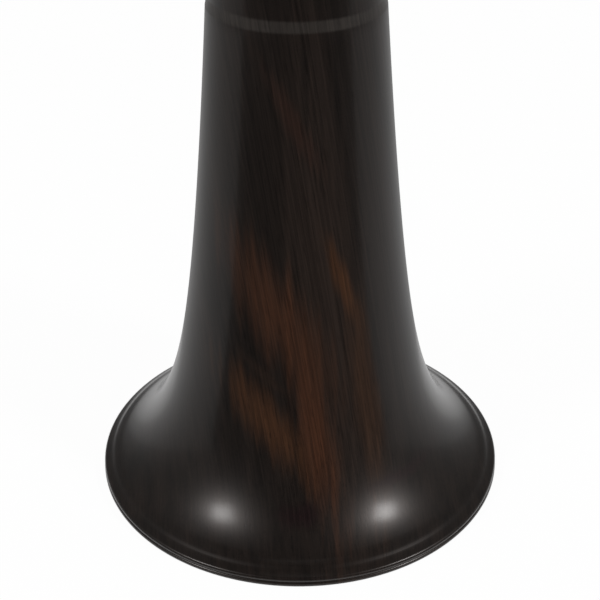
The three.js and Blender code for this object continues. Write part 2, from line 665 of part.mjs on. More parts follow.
for (const [name, key] of Object.entries(rockers)) {
  makeRocker(`${name}_key`, upperHoles[name], key);
  makeCradle(`${name}_key_pivot`, [key.angle], key.pinShare);
}
const sideAngles = [];
for (let i = 0; i < 4; i++) {
  const hole = upperHoles[`side_${i + 1}`];
  const touchShare = i % 2 ? sideKeys.shortTouchShare : sideKeys.longTouchShare;
  makeRocker(`side_key_${i + 1}`, hole, { ...sideKeys, angle: hole.angle, touchShare });
  sideAngles.push(hole.angle);
}
makeCradle('side_key_cradle', sideAngles, sideKeys.pinShare);

// The thumb rest and the strap ring on the back: a foot plate on the wood with a hook or an eye.
function backPlate({ footWidth, footHeight, thick }, z) {
  return solid(onSide(plate(footWidth, footHeight), 180, wood.radius + seatGap + thick - touch.thick, z));
}

const thumbZ = onLower(thumbRest.share);
const thumbHook = sectionBar(180, [
  [thumbZ - thumbRest.footHeight / 4, wood.radius + seatGap + thumbRest.thick],
  [thumbZ, wood.radius + thumbRest.hook / 2], [thumbZ - thumbRest.thick, wood.radius + thumbRest.hook],
], thumbRest.hookWidth);
addPiece('thumb_rest', join(backPlate(thumbRest, thumbZ), thumbHook), materials.silver);

const strapZ = onUpper(strapRing.share);
const eye = new THREE.TorusGeometry(strapRing.radius, strapRing.wire, small, coarse).rotateY(Math.PI / 2);
const eyeReach = wood.radius + strapRing.thick + strapRing.radius + strapRing.wire / 2;
addPiece('strap_ring', join(backPlate(strapRing, strapZ), solid(onSide(eye, 180, eyeReach, strapZ))),
  materials.silver);

// The neck: a tenon in the upper joint, a collar on its end, and a tube that bends back to the player.
function makeNeck() {
  const foot = bodyTop - neck.tenonLength;
  const turn = THREE.MathUtils.degToRad(90 + neck.droopAngle);
  const path = new THREE.CurvePath();
  const centre = new THREE.Vector3(0, neck.bendRadius, bodyTop + neck.rise);
  const onArc = (angle) => new THREE.Vector3(
    0, centre.y - neck.bendRadius * Math.cos(angle), centre.z + neck.bendRadius * Math.sin(angle),
  );
  const end = onArc(turn);
  const ahead = new THREE.Vector3(0, Math.sin(turn), Math.cos(turn));
  const last = end.clone().addScaledVector(ahead, neck.run + neck.endLength);
  path.add(new THREE.LineCurve3(new THREE.Vector3(0, 0, foot), onArc(0)));
  for (let i = 0; i < neck.steps; i++) {
    path.add(new THREE.LineCurve3(onArc(turn * i / neck.steps), onArc(turn * (i + 1) / neck.steps)));
  }
  path.add(new THREE.LineCurve3(end, last));
  const section = new THREE.Shape().absarc(0, 0, neck.radius, 0, 2 * Math.PI);
  section.holes.push(new THREE.Path().absarc(0, 0, neck.radius - neck.wall, 0, 2 * Math.PI, true));
  const tube = solid(new THREE.ExtrudeGeometry(section, {
    steps: neck.steps, curveSegments: small, extrudePath: path,
  }));
  const inner = neck.radius - neck.wall / 2;
  const collar = turned([
    [inner, bodyTop], [neck.collarRadius, bodyTop], [neck.collarRadius, bodyTop + neck.collarHeight / 2],
    [inner, bodyTop + neck.collarHeight], [inner, bodyTop],
  ], medium);
  const tenonTube = sleeve(inner, neck.tenonRadius, foot, bodyTop, medium);
  addPiece('neck_tube', join(tube, solid(collar), solid(tenonTube)), materials.silver);
  const corkInner = neck.tenonRadius + seatGap;
  const corkFoot = foot + neck.corkMargin;
  const cork = sleeve(corkInner, corkInner + neck.cork, corkFoot, bodyTop - neck.corkMargin, medium);
  addPiece('neck_tenon_cork', solid(cork), materials.cork);
  const seatAt = last.clone().addScaledVector(ahead, -neck.endLength);
  const group = new THREE.Group();
  group.position.copy(seatAt);
  group.rotation.x = -turn;
  root.add(group);
  return group;
}

// The mouthpiece in its own frame: the neck's end runs up +Z, the table faces +Y.
function makeMouthpiece(group) {
  const m = mouthpiece;
  const corkOuter = neck.radius + seatGap + neck.cork;
  const corkEnd = neck.endLength - neck.corkMargin;
  const cork = sleeve(neck.radius + seatGap, corkOuter, neck.corkMargin, corkEnd, medium);
  addPiece('mouthpiece_cork', solid(cork), materials.cork, group);
  const blank = solid(turned([
    [0, 0], [m.shankRadius, 0], [m.shankRadius, m.shankLength - seatGap], [m.radius, m.shankLength + overrun],
    [m.radius, m.length], [0, m.length],
  ], medium));
  const wedge = (points, width) => {
    const shape = new THREE.Shape(points.map(([z, y]) => new THREE.Vector2(z, y)));
    return solid(inSection(extrude(shape, width).translate(0, 0, -width / 2), 180));
  };
  const wide = 2 * (m.radius + overrun);
  const far = m.length + overrun;
  const edge = m.radius + overrun;
  const tableStart = m.shankLength + overrun;
  const table = wedge([[tableStart, m.table], [far, m.table], [far, edge], [tableStart, edge]], wide);
  const lip = m.table - m.tipThickness;
  const beak = wedge([
    [m.beakStart, -m.radius], [m.length, lip], [far, lip], [far, -edge], [m.beakStart, -edge],
  ], wide);
  const halfTip = m.tipWidth / 2;
  const sideLine = [
    [m.radius, m.beakStart], [halfTip, m.length], [halfTip, far], [edge, far], [edge, m.beakStart],
  ];
  const side = (sign) => {
    const shape = new THREE.Shape(sideLine.map(([x, z]) => new THREE.Vector2(sign * x, z)));
    return solid(onSide(extrude(shape, wide), 180, -edge, 0));
  };
  const shankBore = solid(barrel(corkOuter + seatGap, -overrun, m.boreDepth, medium));
  const chamber = solid(barrel(m.chamberRadius, m.boreDepth - overrun, m.chamberEnd, coarse));
  const window = wedge([
    [m.windowStart, 0], [m.windowEnd, m.table - m.windowEdge], [m.windowEnd, edge], [m.windowStart, edge],
  ], m.windowWidth);
  addPiece('mouthpiece', cut(blank, table, beak, side(1), side(-1), shankBore, chamber, window),
    materials.ebonite, group);

  const reedFoot = m.shankLength + reed.heelRoom;
  const reedFace = m.table + seatGap;
  const bark = solid(barrel(m.radius, 0, m.length, medium));
  const blade = wedge([
    [reedFoot, reedFace], [m.length, reedFace], [m.length, reedFace + reed.tip],
    [m.length - reed.vamp, reedFace + reed.heel], [reedFoot, reedFace + reed.heel],
  ], reed.width);
  addPiece('reed', blade.intersect(bark), materials.cane, group);

  const inner = m.radius + seatGap;
  const outer = inner + ligature.wall;
  const top = ligature.start + ligature.length;
  const band = solid(sleeve(inner, outer, ligature.start, top, medium));
  const box = (x0, x1, y0, y1, z0, z1) => solid(new THREE.BoxGeometry(x1 - x0, y1 - y0, z1 - z0)
    .translate((x0 + x1) / 2, (y0 + y1) / 2, (z0 + z1) / 2));
  const half = ligature.slot / 2;
  const ear = (sign) => {
    const near = sign * half;
    const away = sign * (half + ligature.earWidth);
    const [x0, x1] = [Math.min(near, away), Math.max(near, away)];
    return box(x0, x1, inner + ligature.wall / 2, inner + ligature.earHeight, ligature.start, top);
  };
  const slot = box(-half, half, 0, outer + overrun, ligature.start - overrun, top + overrun);
  const screwY = inner + ligature.earHeight * ligature.screwShare;
  const heights = [1, 3].map((quarter) => ligature.start + ligature.length * quarter / 4);
  const reach = half + ligature.earWidth;
  const along = (radius, x0, x1, z, flats) =>
    solid(barrel(radius, x0, x1, flats).rotateY(Math.PI / 2).translate(0, screwY, z));
  const past = reach + overrun;
  const screwHoles = heights.map((z) => along(ligature.screwHole, -past, past, z, coarse));
  addPiece('ligature', cut(join(band, ear(1), ear(-1)), slot, ...screwHoles), materials.silver, group);
  heights.forEach((z, i) => {
    const shank = along(ligature.screwRadius, -reach, reach + seatGap + ligature.headLength / 2, z, coarse);
    const head = along(ligature.headRadius, reach + seatGap, reach + seatGap + ligature.headLength, z, coarse);
    addPiece(`ligature_screw_${i + 1}`, join(shank, head), materials.silver, group);
  });
}

makeMouthpiece(makeNeck());

root.updateMatrixWorld(true);
const extent = new THREE.Box3().setFromObject(root);
const middle = extent.getCenter(new THREE.Vector3());
root.position.set(-middle.x, -middle.y, -extent.min.z);

export default root;
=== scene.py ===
"""A bass clarinet with a straight turned bell, dressed for its studio picture.

Lengths are millimetres until a mesh is made of them. The bore's axis stands upright, and angles round
it are in degrees from the front (-Y), positive towards +X.
"""

import json
import math

import bmesh
import bpy
from mathutils import Matrix, Vector


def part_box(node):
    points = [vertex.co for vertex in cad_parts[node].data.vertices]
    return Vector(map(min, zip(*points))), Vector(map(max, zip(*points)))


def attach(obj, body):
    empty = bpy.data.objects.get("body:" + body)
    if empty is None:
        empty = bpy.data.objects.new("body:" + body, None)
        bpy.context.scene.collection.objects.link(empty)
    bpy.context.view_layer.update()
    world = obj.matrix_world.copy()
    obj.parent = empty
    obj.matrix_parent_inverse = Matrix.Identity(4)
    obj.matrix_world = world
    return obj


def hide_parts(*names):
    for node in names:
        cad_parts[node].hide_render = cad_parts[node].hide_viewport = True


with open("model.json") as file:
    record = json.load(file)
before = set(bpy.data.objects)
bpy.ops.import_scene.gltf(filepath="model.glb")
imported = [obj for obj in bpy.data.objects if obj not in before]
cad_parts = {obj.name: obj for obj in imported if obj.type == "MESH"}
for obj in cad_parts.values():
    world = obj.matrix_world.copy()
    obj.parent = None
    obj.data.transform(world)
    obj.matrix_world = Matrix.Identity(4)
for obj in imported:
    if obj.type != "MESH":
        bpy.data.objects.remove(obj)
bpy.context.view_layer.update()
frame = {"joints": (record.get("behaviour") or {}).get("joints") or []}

MM = 0.001
UP = Vector((0, 0, 1))
scene = bpy.context.scene


def linear(code):
    """An sRGB hex colour as the linear RGBA that a socket takes."""
    channels = [int(code[i : i + 2], 16) / 255 for i in (1, 3, 5)]
    return (*[c / 12.92 if c <= 0.04045 else ((c + 0.055) / 1.055) ** 2.4 for c in channels], 1)


def feed(tree, node, links):
    """Feeds a node's sockets, each from a socket or from a node's first one."""
    for socket, source in links.items():
        fed_by = source.outputs[0] if isinstance(source, bpy.types.Node) else source
        tree.links.new(fed_by, node.inputs[socket])


def add(tree, kind, settings={}, values={}, links={}):
    """Adds a node with its settings, the values of its sockets and what feeds them."""
    node = tree.nodes.new(kind)
    for name, value in settings.items():
        setattr(node, name, value)
    for socket, value in values.items():
        node.inputs[socket].default_value = value
    feed(tree, node, links)
    return node


# ---- Sizes and places ----

bell_low, bell_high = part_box("bell")
axis = Vector(((bell_low.x + bell_high.x) / 2, (bell_low.y + bell_high.y) / 2, 0))
photo_side = -38  # the side that faces the camera

bell_top, middle_top, body_top = 156, 549, 864  # where the bell, the lower and the upper joint end
wood_radius, bore_radius = 17.2, 11.8
shoulder, chamfer_height, chamfer_depth = 137.9, 2.6, 0.55  # the bell's chamfered band, painted paler as a sheen
socket_radius, socket_floor = 16.6, 130
ring_height, ring_wall, ring_stand = 7.4, 1.6, 0.4
lower_head, lower_slope = 33, 8  # a joint's swollen head and the slope below it
upper_head, upper_slope = 27, 6
seat_top, pad_thick, running_gap = 19.2, 1.6, 0.4
cup_foot = seat_top + 0.3
cup_top = cup_foot + pad_thick + 3
seat_lip = cup_foot - 0.05  # a closed pad rests on the seat
arm_width, arm_thick = 5, 2
tube_bore, tube_radius, rod_radius = 1.65, 2.5, 1.25
post_foot, post_stem, post_ball = 3.3, 1.6, 2.9


def direction(angle):
    """The unit vector outwards at an angle round the axis."""
    turn = math.radians(angle)
    return Vector((math.sin(turn), -math.cos(turn), 0))


def across(angle):
    """The unit vector to the right on the body's side, as seen from outside."""
    turn = math.radians(angle)
    return Vector((math.cos(turn), math.sin(turn), 0))


def polar(angle, r, z=0):
    """A point from the foot of the bore."""
    return direction(angle) * r + UP * z


def upright(at=Vector()):
    """The frame of what stands upright at a point."""
    return Matrix.Translation(axis + at * MM)


def on_side(angle, r, z, aside=0):
    """The frame on the body's side: x across, y up and z outwards."""
    place = Matrix((across(angle), UP, direction(angle))).transposed().to_4x4()
    place.translation = axis + (polar(angle, r, z) + across(angle) * aside) * MM
    return place


def lower_z(share):
    """The height at a share of the lower joint."""
    return bell_top + share * (middle_top - bell_top)


def upper_z(share):
    """The height at a share of the upper joint."""
    return middle_top + share * (body_top - middle_top)


laid_across = Matrix.Rotation(math.pi / 2, 4, "Y")  # turns an upright piece to lie across the body

# Hinge rods: angle, and distance from the bore.
hinges = {
    "right1": (46.6, 25.5), "right2": (60.4, 29.3), "right3": (74.4, 31.6), "right4": (89.1, 32),
    "back": (133.4, 25.5), "left1": (-46.6, 25.5), "left2": (-60.4, 29.3), "left3": (-74.4, 31.6),
    "left4": (-89.1, 32), "left5": (-104.9, 31),
}
# The throat G sharp key's tube fills the rod's line between the left hand's stack and the joint's head.
left_middle, left_index = upper_z(0.581), upper_z(0.6857)
throat_low = left_index + (left_index - left_middle) / 2 + 4 * post_foot
throat_high = body_top - upper_head - upper_slope - 2 * post_foot - running_gap

# Tone holes: height, angle and radius of the cup.
lower_holes = {
    "rh_index": (lower_z(0.8244), 0, 9.5), "rh_middle": (lower_z(0.7405), 0, 9.5),
    "rh_ring": (lower_z(0.6565), 0, 9.5), "a_flat_e_flat": (lower_z(0.5496), -82, 8),
    "f_sharp_c_sharp": (lower_z(0.4453), 0, 10.5), "f_c": (lower_z(0.3359), 0, 11),
    "e_b": (lower_z(0.2214), 0, 11.5), "low_e_flat": (lower_z(0.112), -38, 12),
}
upper_holes = {
    "bridge": (upper_z(0.3365), 0, 8), "lh_ring": (upper_z(0.4762), 0, 9), "lh_middle": (left_middle, 0, 9),
    "lh_index": (left_index, 0, 9), "thumb": (upper_z(0.59), 180, 9),
    "c_sharp_g_sharp": (upper_z(0.432), 112, 7),
    "throat_g_sharp": (throat_low + 0.58 * (throat_high - throat_low), 86, 6),
    "throat_a": (835.6, 0, 6), "register": (835.6, 180, 5.5),
    "side_1": (upper_z(0.845), -44, 6), "side_2": (upper_z(0.765), -68, 6),
    "side_3": (upper_z(0.845), -92, 6), "side_4": (upper_z(0.765), -116, 6),
}
holes = {**lower_holes, **upper_holes}

# ---- Materials ----


def cleared(owner):
    """The emptied node tree of a material or of the world."""
    owner.use_nodes = True
    owner.node_tree.nodes.clear()
    return owner.node_tree


def surface(name, colour, roughness, metallic=0.0, ior=1.5):
    """A material with its shader, ready for a pattern."""
    made = bpy.data.materials.new(name)
    tree = cleared(made)
    shader = add(tree, "ShaderNodeBsdfPrincipled", values={
        "Base Color": linear(colour), "Roughness": roughness, "Metallic": metallic, "IOR": ior,
    })
    add(tree, "ShaderNodeOutputMaterial", links={"Surface": shader})
    return made, tree, shader


def fibres(tree, vector, scale, detail, roughness=0.5, distortion=0.0):
    """A noise drawn out along fibres. The scale is its patches to the metre, across, through and along."""
    drawn_out = add(tree, "ShaderNodeMapping", values={"Scale": scale}, links={"Vector": vector})
    return add(tree, "ShaderNodeTexNoise", values={
        "Scale": 1, "Detail": detail, "Roughness": roughness, "Distortion": distortion,
    }, links={"Vector": drawn_out})


def blackwood(name, with_figure_and_painted_light):
    """African blackwood, turned, oiled and buffed: nearly black, with leaning grain and fine pores."""
    plain_roughness, chamfer_roughness, chamfer_edge = 0.34, 0.5, 0.3
    made, tree, shader = surface(name, "#1e1714", plain_roughness, ior=1.34)
    shader.inputs["Specular Tint"].default_value = linear("#fff6f2")
    # The buffed oil lies over the wood as a thin sharper gloss.
    shader.inputs["Coat Weight"].default_value = 0.3
    shader.inputs["Coat Roughness"].default_value = 0.13
    shader.inputs["Coat IOR"].default_value = 1.4
    place = add(tree, "ShaderNodeTexCoord")
    # The pattern's X runs to the right in the photograph, its Y away from the camera.
    facing = add(tree, "ShaderNodeMapping", {"vector_type": "TEXTURE"}, {
        "Location": axis, "Rotation": (0, 0, math.radians(photo_side)),
    }, {"Vector": place.outputs["Object"]})
    # The log's heart lies a few degrees off the bore, so the grain leans across the bell.
    grain = add(tree, "ShaderNodeMapping", {"vector_type": "TEXTURE"}, {"Rotation": (0, math.radians(-9), 0)},
                {"Vector": facing})
    # Bands about four millimetres wide that run up the log.
    bands = fibres(tree, grain, (260, 90, 9), 4, 0.55, 0.3)
    colour = add(tree, "ShaderNodeValToRGB", links={"Fac": bands})
    for stop, at, tone in zip(colour.color_ramp.elements, (0.35, 0.7), ("#120e0c", "#1b1512")):
        stop.position, stop.color = at, linear(tone)
    if with_figure_and_painted_light:
        colour = figure_and_painted_shade(tree, facing, colour)
        # The chamfer under the ring was cut after the polish, so it is matt; its paler colour is a painted
        # sheen for the light it catches from above.
        height = add(tree, "ShaderNodeSeparateXYZ", links={"Vector": facing})
        chamfer = add(tree, "ShaderNodeMath", {"operation": "MULTIPLY"})
        for side, z, edge in ((0, shoulder, chamfer_edge), (1, shoulder + chamfer_height, -chamfer_edge)):
            within = add(tree, "ShaderNodeMapRange", values={
                "From Min": (z - edge) * MM, "From Max": (z + edge) * MM,
            }, links={"Value": height.outputs["Z"]})
            feed(tree, chamfer, {side: within})
        # A painted sheen: the chamfer is coloured paler for the light it catches.
        painted_sheen = add(tree, "ShaderNodeMix", {"data_type": "RGBA"}, {7: linear("#24201d")}, {
            0: chamfer, 6: colour,
        })
        colour = painted_sheen.outputs[2]
        dull = add(tree, "ShaderNodeMapRange", values={
            "To Min": plain_roughness, "To Max": chamfer_roughness,
        }, links={"Value": chamfer})
        feed(tree, shader, {"Roughness": dull})
    # Fine lines about two thirds of a millimetre wide.
    fine = fibres(tree, grain, (2500, 170, 11), 2)
    streak = add(tree, "ShaderNodeMapRange", values={
        "From Min": 0.35, "From Max": 0.65, "To Min": 0.74, "To Max": 1.24,
    }, links={"Value": fine})
    lined = add(tree, "ShaderNodeVectorMath", {"operation": "SCALE"}, links={0: colour, "Scale": streak})
    # Pores: dark dashes a third of a millimetre wide and a few millimetres long.
    pores = fibres(tree, grain, (2800, 900, 110), 1, 0.4)
    open_pore = add(tree, "ShaderNodeMapRange", values={
        "From Min": 0.3, "From Max": 0.42, "To Min": 0.72, "To Max": 1,
    }, links={"Value": pores})
    pored = add(tree, "ShaderNodeVectorMath", {"operation": "SCALE"}, links={0: lined, "Scale": open_pore})
    bump = add(tree, "ShaderNodeBump", values={"Strength": 0.2, "Distance": 0.05 * MM},
               links={"Height": open_pore})
    feed(tree, shader, {"Base Color": pored, "Normal": bump})
    return made


# The bell's brown sapwood marks and one painted dark band: middle (to the right, up), half sizes, lean to the
# left going up, and colour.
streaks_and_painted_shade = (
    ((8, 62), (11, 75), 0.1, "#221a16"),
    ((-4.6, 64), (9, 24), 0.47, "#351f13"),
    ((-7.2, 34.5), (8, 15), 0.75, "#352012"),
    ((4.2, 34), (4.8, 26), 0.22, "#382013"),
    ((-8.2, 47.8), (2.8, 6.5), 1.1, "#1f1611"),
    ((11.4, 73), (2.2, 14), 0.32, "#382213"),
    ((18, 39), (3.6, 30), 0.15, "#2d1e15"),
    ((-1.3, 117), (2.8, 14), 0.5, "#251813"),
    ((-0.6, 13), (6, 2.8), 0, "#170c0d"),
    # A painted shade: a dark arc low on the flare for the dark band it reflects there.
    ((27, 16.6), (10, 1.8), 0, "#1a1010"),
)


def figure_and_painted_shade(tree, vector, colour):
    """Lays the bell's brown sapwood marks and dark knots over a colour, and one dark arc low on the flare that
    is painted shade.
    """
    apart = add(tree, "ShaderNodeSeparateXYZ", links={"Vector": vector})
    warp = fibres(tree, vector, (560, 60, 13), 1)
    near = add(tree, "ShaderNodeMapRange", values={"From Min": 4 * MM, "From Max": -4 * MM},
               links={"Value": apart.outputs["Y"]})
    for (right, up), (half_width, half_height), lean, tone in streaks_and_painted_shade:
        # The distance from the streak's middle, in half widths and half heights.
        sideways = add(tree, "ShaderNodeMath", {"operation": "MULTIPLY_ADD"}, {
            1: lean, 2: (-right - lean * up) * MM,
        }, {0: apart.outputs["Z"]})
        aside = add(tree, "ShaderNodeMath", {"operation": "ADD"}, links={0: apart.outputs["X"], 1: sideways})
        u = add(tree, "ShaderNodeMath", {"operation": "DIVIDE"}, {1: half_width * MM}, {0: aside})
        v = add(tree, "ShaderNodeMapRange", {"clamp": False}, {
            "From Min": up * MM, "From Max": (up + half_height) * MM,
        }, {"Value": apart.outputs["Z"]})
        both = add(tree, "ShaderNodeCombineXYZ", links={"X": u, "Y": v})
        far = add(tree, "ShaderNodeVectorMath", {"operation": "LENGTH"}, links={0: both})
        ragged = add(tree, "ShaderNodeMath", {"operation": "MULTIPLY_ADD"}, {1: -1.2}, {
            0: warp, 2: far.outputs["Value"],
        })
        share = add(tree, "ShaderNodeMapRange", {"interpolation_type": "SMOOTHSTEP"}, {
            "From Min": 0.75, "From Max": -0.5,
        }, {"Value": ragged})
        # The back of the bell stays plain.
        shown = add(tree, "ShaderNodeMath", {"operation": "MULTIPLY"}, links={0: share, 1: near})
        mixed = add(tree, "ShaderNodeMix", {"data_type": "RGBA"}, {7: linear(tone)}, {0: shown, 6: colour})
        colour = mixed.outputs[2]
    return colour


def speckled_cork():
    """Sheet cork, sanded: a dry tan with dark specks about a millimetre across."""
    made, tree, shader = surface("sheet cork, sanded", "#b58a5a", 0.85)
    place = add(tree, "ShaderNodeTexCoord")
    specks = add(tree, "ShaderNodeTexNoise", values={"Scale": 900, "Detail": 3, "Roughness": 0.65},
                 links={"Vector": place.outputs["Object"]})
    tones = add(tree, "ShaderNodeValToRGB", links={"Fac": specks})
    for stop, at, tone in zip(tones.color_ramp.elements, (0.38, 0.55), ("#7b5534", "#b98e5e")):
        stop.position, stop.color = at, linear(tone)
    bump = add(tree, "ShaderNodeBump", values={"Strength": 0.3, "Distance": 0.1 * MM},
               links={"Height": specks})
    feed(tree, shader, {"Base Color": tones, "Normal": bump})
    return made


def scraped_cane(place, lean):
    """Reed cane, scraped: pale straw with darker fibres a fifth of a millimetre wide along the reed."""
    made, tree, shader = surface("reed cane, scraped", "#d9bd84", 0.45)
    spot = add(tree, "ShaderNodeTexCoord")
    reed_place = add(tree, "ShaderNodeMapping", {"vector_type": "TEXTURE"}, {
        "Location": place.translation, "Rotation": (-lean, 0, 0),
    }, {"Vector": spot.outputs["Object"]})
    lines = fibres(tree, reed_place, (3000, 3000, 35), 2, 0.6)
    tones = add(tree, "ShaderNodeValToRGB", links={"Fac": lines})
    for stop, at, tone in zip(tones.color_ramp.elements, (0.35, 0.62), ("#b8935a", "#e0c68f")):
        stop.position, stop.color = at, linear(tone)
    feed(tree, shader, {"Base Color": tones})
    return made


bell_wood = blackwood("oiled blackwood with brown figure", True)
joint_wood = blackwood("oiled blackwood", False)
# Silver plate, buffed by hand: a bright, faintly warm mirror with softened edges.
silver = surface("silver-plated nickel silver, polished", "#dcd9d2", 0.14, 1.0)[0]
# Ground steel: greyer than the plate, with a duller shine.
steel = surface("hardened steel, ground", "#b4b4b6", 0.26, 1.0)[0]
cork = speckled_cork()
# Ebonite: an even deep black without grain, and a clear gloss.
ebonite = surface("ebonite, turned and polished", "#121211", 0.16, ior=1.6)[0]
# Pad leather: a soft dull cream under the bright cups.
leather = surface("pad leather, white, pressed", "#e4ddcf", 0.6)[0]
# Blued steel: a thin dark blue glint beside the rods.
blued = surface("spring steel, blued", "#2b3350", 0.25, 1.0)[0]

# ---- Making pieces ----


def put(name, data):
    """An object in the scene."""
    made = bpy.data.objects.new(name, data)
    scene.collection.objects.link(made)
    return made


def adopt(name, mesh, material, body, *nodes, crease=32):
    """Makes a mesh a finished piece that rides on a body and stands for CAD nodes.

    It is smooth but for edges sharper than the crease.
    """
    mesh.shade_smooth()
    mesh.set_sharp_from_angle(angle=math.radians(crease))
    mesh.materials.clear()
    mesh.materials.append(material)
    piece = put(name, mesh)
    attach(piece, body)
    if nodes:
        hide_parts(*nodes)


def baked(holder):
    """The plain mesh that an object's modifiers make."""
    return bpy.data.meshes.new_from_object(holder.evaluated_get(bpy.context.evaluated_depsgraph_get()))


def outwards(mesh):
    """Points a closed mesh's faces out."""
    shell = bmesh.new()
    shell.from_mesh(mesh)
    bmesh.ops.remove_doubles(shell, verts=shell.verts, dist=1e-7)
    for edge in [edge for edge in shell.edges if edge.is_wire]:
        shell.edges.remove(edge)
    bmesh.ops.recalc_face_normals(shell, faces=shell.faces)
    if shell.calc_volume(signed=True) < 0:
        bmesh.ops.reverse_faces(shell, faces=shell.faces)
    shell.to_mesh(mesh)
    shell.free()


def turning_tree():
    """Geometry Nodes: sweeps a profile, drawn as radius along X and height down Y, round Z."""
    tree = bpy.data.node_groups.new("turned on the lathe", "GeometryNodeTree")
    tree.interface.new_socket("Profile", in_out="INPUT", socket_type="NodeSocketGeometry")
    flats = tree.interface.new_socket("Flats", in_out="INPUT", socket_type="NodeSocketInt")
    stuff = tree.interface.new_socket("Material", in_out="INPUT", socket_type="NodeSocketMaterial")
    tree.interface.new_socket("Piece", in_out="OUTPUT", socket_type="NodeSocketGeometry")
    given = add(tree, "NodeGroupInput")
    circle = add(tree, "GeometryNodeCurvePrimitiveCircle", values={"Radius": MM},
                 links={"Resolution": given.outputs["Flats"]})
    # The sweep adds the circle's own radius, so the profile is moved in by as much.
    inwards = add(tree, "GeometryNodeTransform", values={"Translation": (-MM, 0, 0)},
                  links={"Geometry": given.outputs["Profile"]})
    profile = add(tree, "GeometryNodeMeshToCurve", links={"Mesh": inwards})
    swept = add(tree, "GeometryNodeCurveToMesh", links={"Curve": circle, "Profile Curve": profile})
    plain = add(tree, "GeometryNodeRealizeInstances", links={"Geometry": swept})
    made = add(tree, "GeometryNodeSetMaterial", links={
        "Geometry": plain, "Material": given.outputs["Material"],
    })
    add(tree, "NodeGroupOutput", links={"Piece": made})
    return tree, flats.identifier, stuff.identifier


turning, flats_input, material_input = turning_tree()


def turned(profile, flats, place=Matrix.Identity(4), material=None):
    """The mesh of a turned piece at a place, from a closed line of radius and height."""
    count = len(profile)
    line = bpy.data.meshes.new("profile")
    edges = [(i, (i + 1) % count) for i in range(count)]
    line.from_pydata([(r * MM, -z * MM, 0) for r, z in profile], edges, [])
    holder = put("profile", line)
    modifier = holder.modifiers.new("turning", "NODES")
    modifier.node_group = turning
    modifier[flats_input] = flats
    modifier[material_input] = material
    mesh = baked(holder)
    bpy.data.objects.remove(holder)
    outwards(mesh)
    mesh.transform(place)
    return mesh


def closed(rings, looped=False):
    """A closed mesh from rings of points in metres, shut at its ends or run round into itself."""
    count, wide = len(rings), len(rings[0])
    ends = [tuple(reversed(range(wide))), tuple((count - 1) * wide + i for i in range(wide))]
    faces = [] if looped else ends
    for ring in range(count if looped else count - 1):
        here, ahead = ring * wide, (ring + 1) % count * wide
        for i in range(wide):
            j = (i + 1) % wide
            faces.append((here + i, here + j, ahead + j, ahead + i))
    mesh = bpy.data.meshes.new("closed")
    mesh.from_pydata([point for ring in rings for point in ring], [], faces)
    outwards(mesh)
    return mesh


def gathered(*meshes):
    """One mesh of several."""
    shell = bmesh.new()
    for mesh in meshes:
        shell.from_mesh(mesh)
    made = bpy.data.meshes.new("gathered")
    shell.to_mesh(made)
    shell.free()
    return made


def placed(mesh, place):
    """A mesh moved to its place."""
    mesh.transform(place)
    return mesh


def carved(body, tools, operation):
    """A closed mesh joined with others, or cut by them."""
    holders = [put("carving", mesh) for mesh in (body, tools)]
    work = holders[0].modifiers.new("carving", "BOOLEAN")
    work.operation, work.solver, work.object = operation, "MANIFOLD", holders[1]
    made = baked(holders[0])
    for holder in holders:
        bpy.data.objects.remove(holder)
    return gathered(made)


def arc(x, y, r, start, end, steps):
    """Points on an arc between two angles in degrees."""
    turns = [math.radians(start + (end - start) * i / steps) for i in range(steps + 1)]
    return [(x + r * math.cos(turn), y + r * math.sin(turn)) for turn in turns]


def even_ended(end, low, high):
    """A section with the same shape at both ends, from radii and how far in from the end they are."""
    return [(r, low + back) for r, back in end] + [(r, high - back) for r, back in reversed(end)]


def circle(middle, a, b, r, count):
    """A ring of points in metres round a point, in the plane of two unit vectors."""
    turns = [2 * math.pi * i / count for i in range(count)]
    return [axis + (middle + (a * math.cos(turn) + b * math.sin(turn)) * r) * MM for turn in turns]


def rounded(width, height, corner, steps):
    """The outline of a rectangle with round corners."""
    corner = min(corner, width / 2 - 0.01, height / 2 - 0.01)
    points = []
    for quarter, (sx, sy) in enumerate(((1, 1), (-1, 1), (-1, -1), (1, -1))):
        points += arc(sx * (width / 2 - corner), sy * (height / 2 - corner), corner,
                      90 * quarter, 90 * quarter + 90, steps)
    return points


def prism(outline, start, end, place=Matrix.Identity(4)):
    """A prism of an outline, from one height to another in its own frame."""
    return closed([[place @ (Vector((x, y, z)) * MM) for x, y in outline] for z in (start, end)])


def spline(points, steps):
    """Points along a smooth line through the given ones."""
    made = []
    spans = len(points) - 1
    for k in range(steps + 1):
        at = k / steps * spans
        i = min(int(at), spans - 1)
        t = at - i
        p1, p2 = points[i], points[i + 1]
        p0 = points[i - 1] if i else p1
        p3 = points[i + 2] if i + 2 <= spans else p2
        bend_2, bend_3 = p0 * 2 - p1 * 5 + p2 * 4 - p3, p1 * 3 - p0 - p2 * 3 + p3
        made.append(((p2 - p0) * t + bend_2 * t**2 + bend_3 * t**3) / 2 + p1)
    return made


def bar(points, wide, widths, thick):
    """A bar of rounded section through points, its width along one direction, its ends rounded off."""
    rings = []
    last = len(points) - 1
    ends = {0: ((0.45, 0), (0.1, 0.35)), last: ((0.1, -0.35), (0.45, 0))}  # inset, and slip along the bar
    for i, point in enumerate(points):
        ahead = (points[min(i + 1, last)] - points[max(i - 1, 0)]).normalized()
        flat = ahead.cross(wide).normalized()
        width = widths[0] + (widths[1] - widths[0]) * i / last
        for inset, slip in ends.get(i, ((0, 0),)):
            outline = rounded(width - 2 * inset, thick - 2 * inset, min(width, thick) * 0.35, 3)
            rings.append([axis + (point + ahead * slip + wide * a + flat * b) * MM for a, b in outline])
    return closed(rings)


# ---- The bell ----

rim_radius, mouth_wall = 58, 3.4
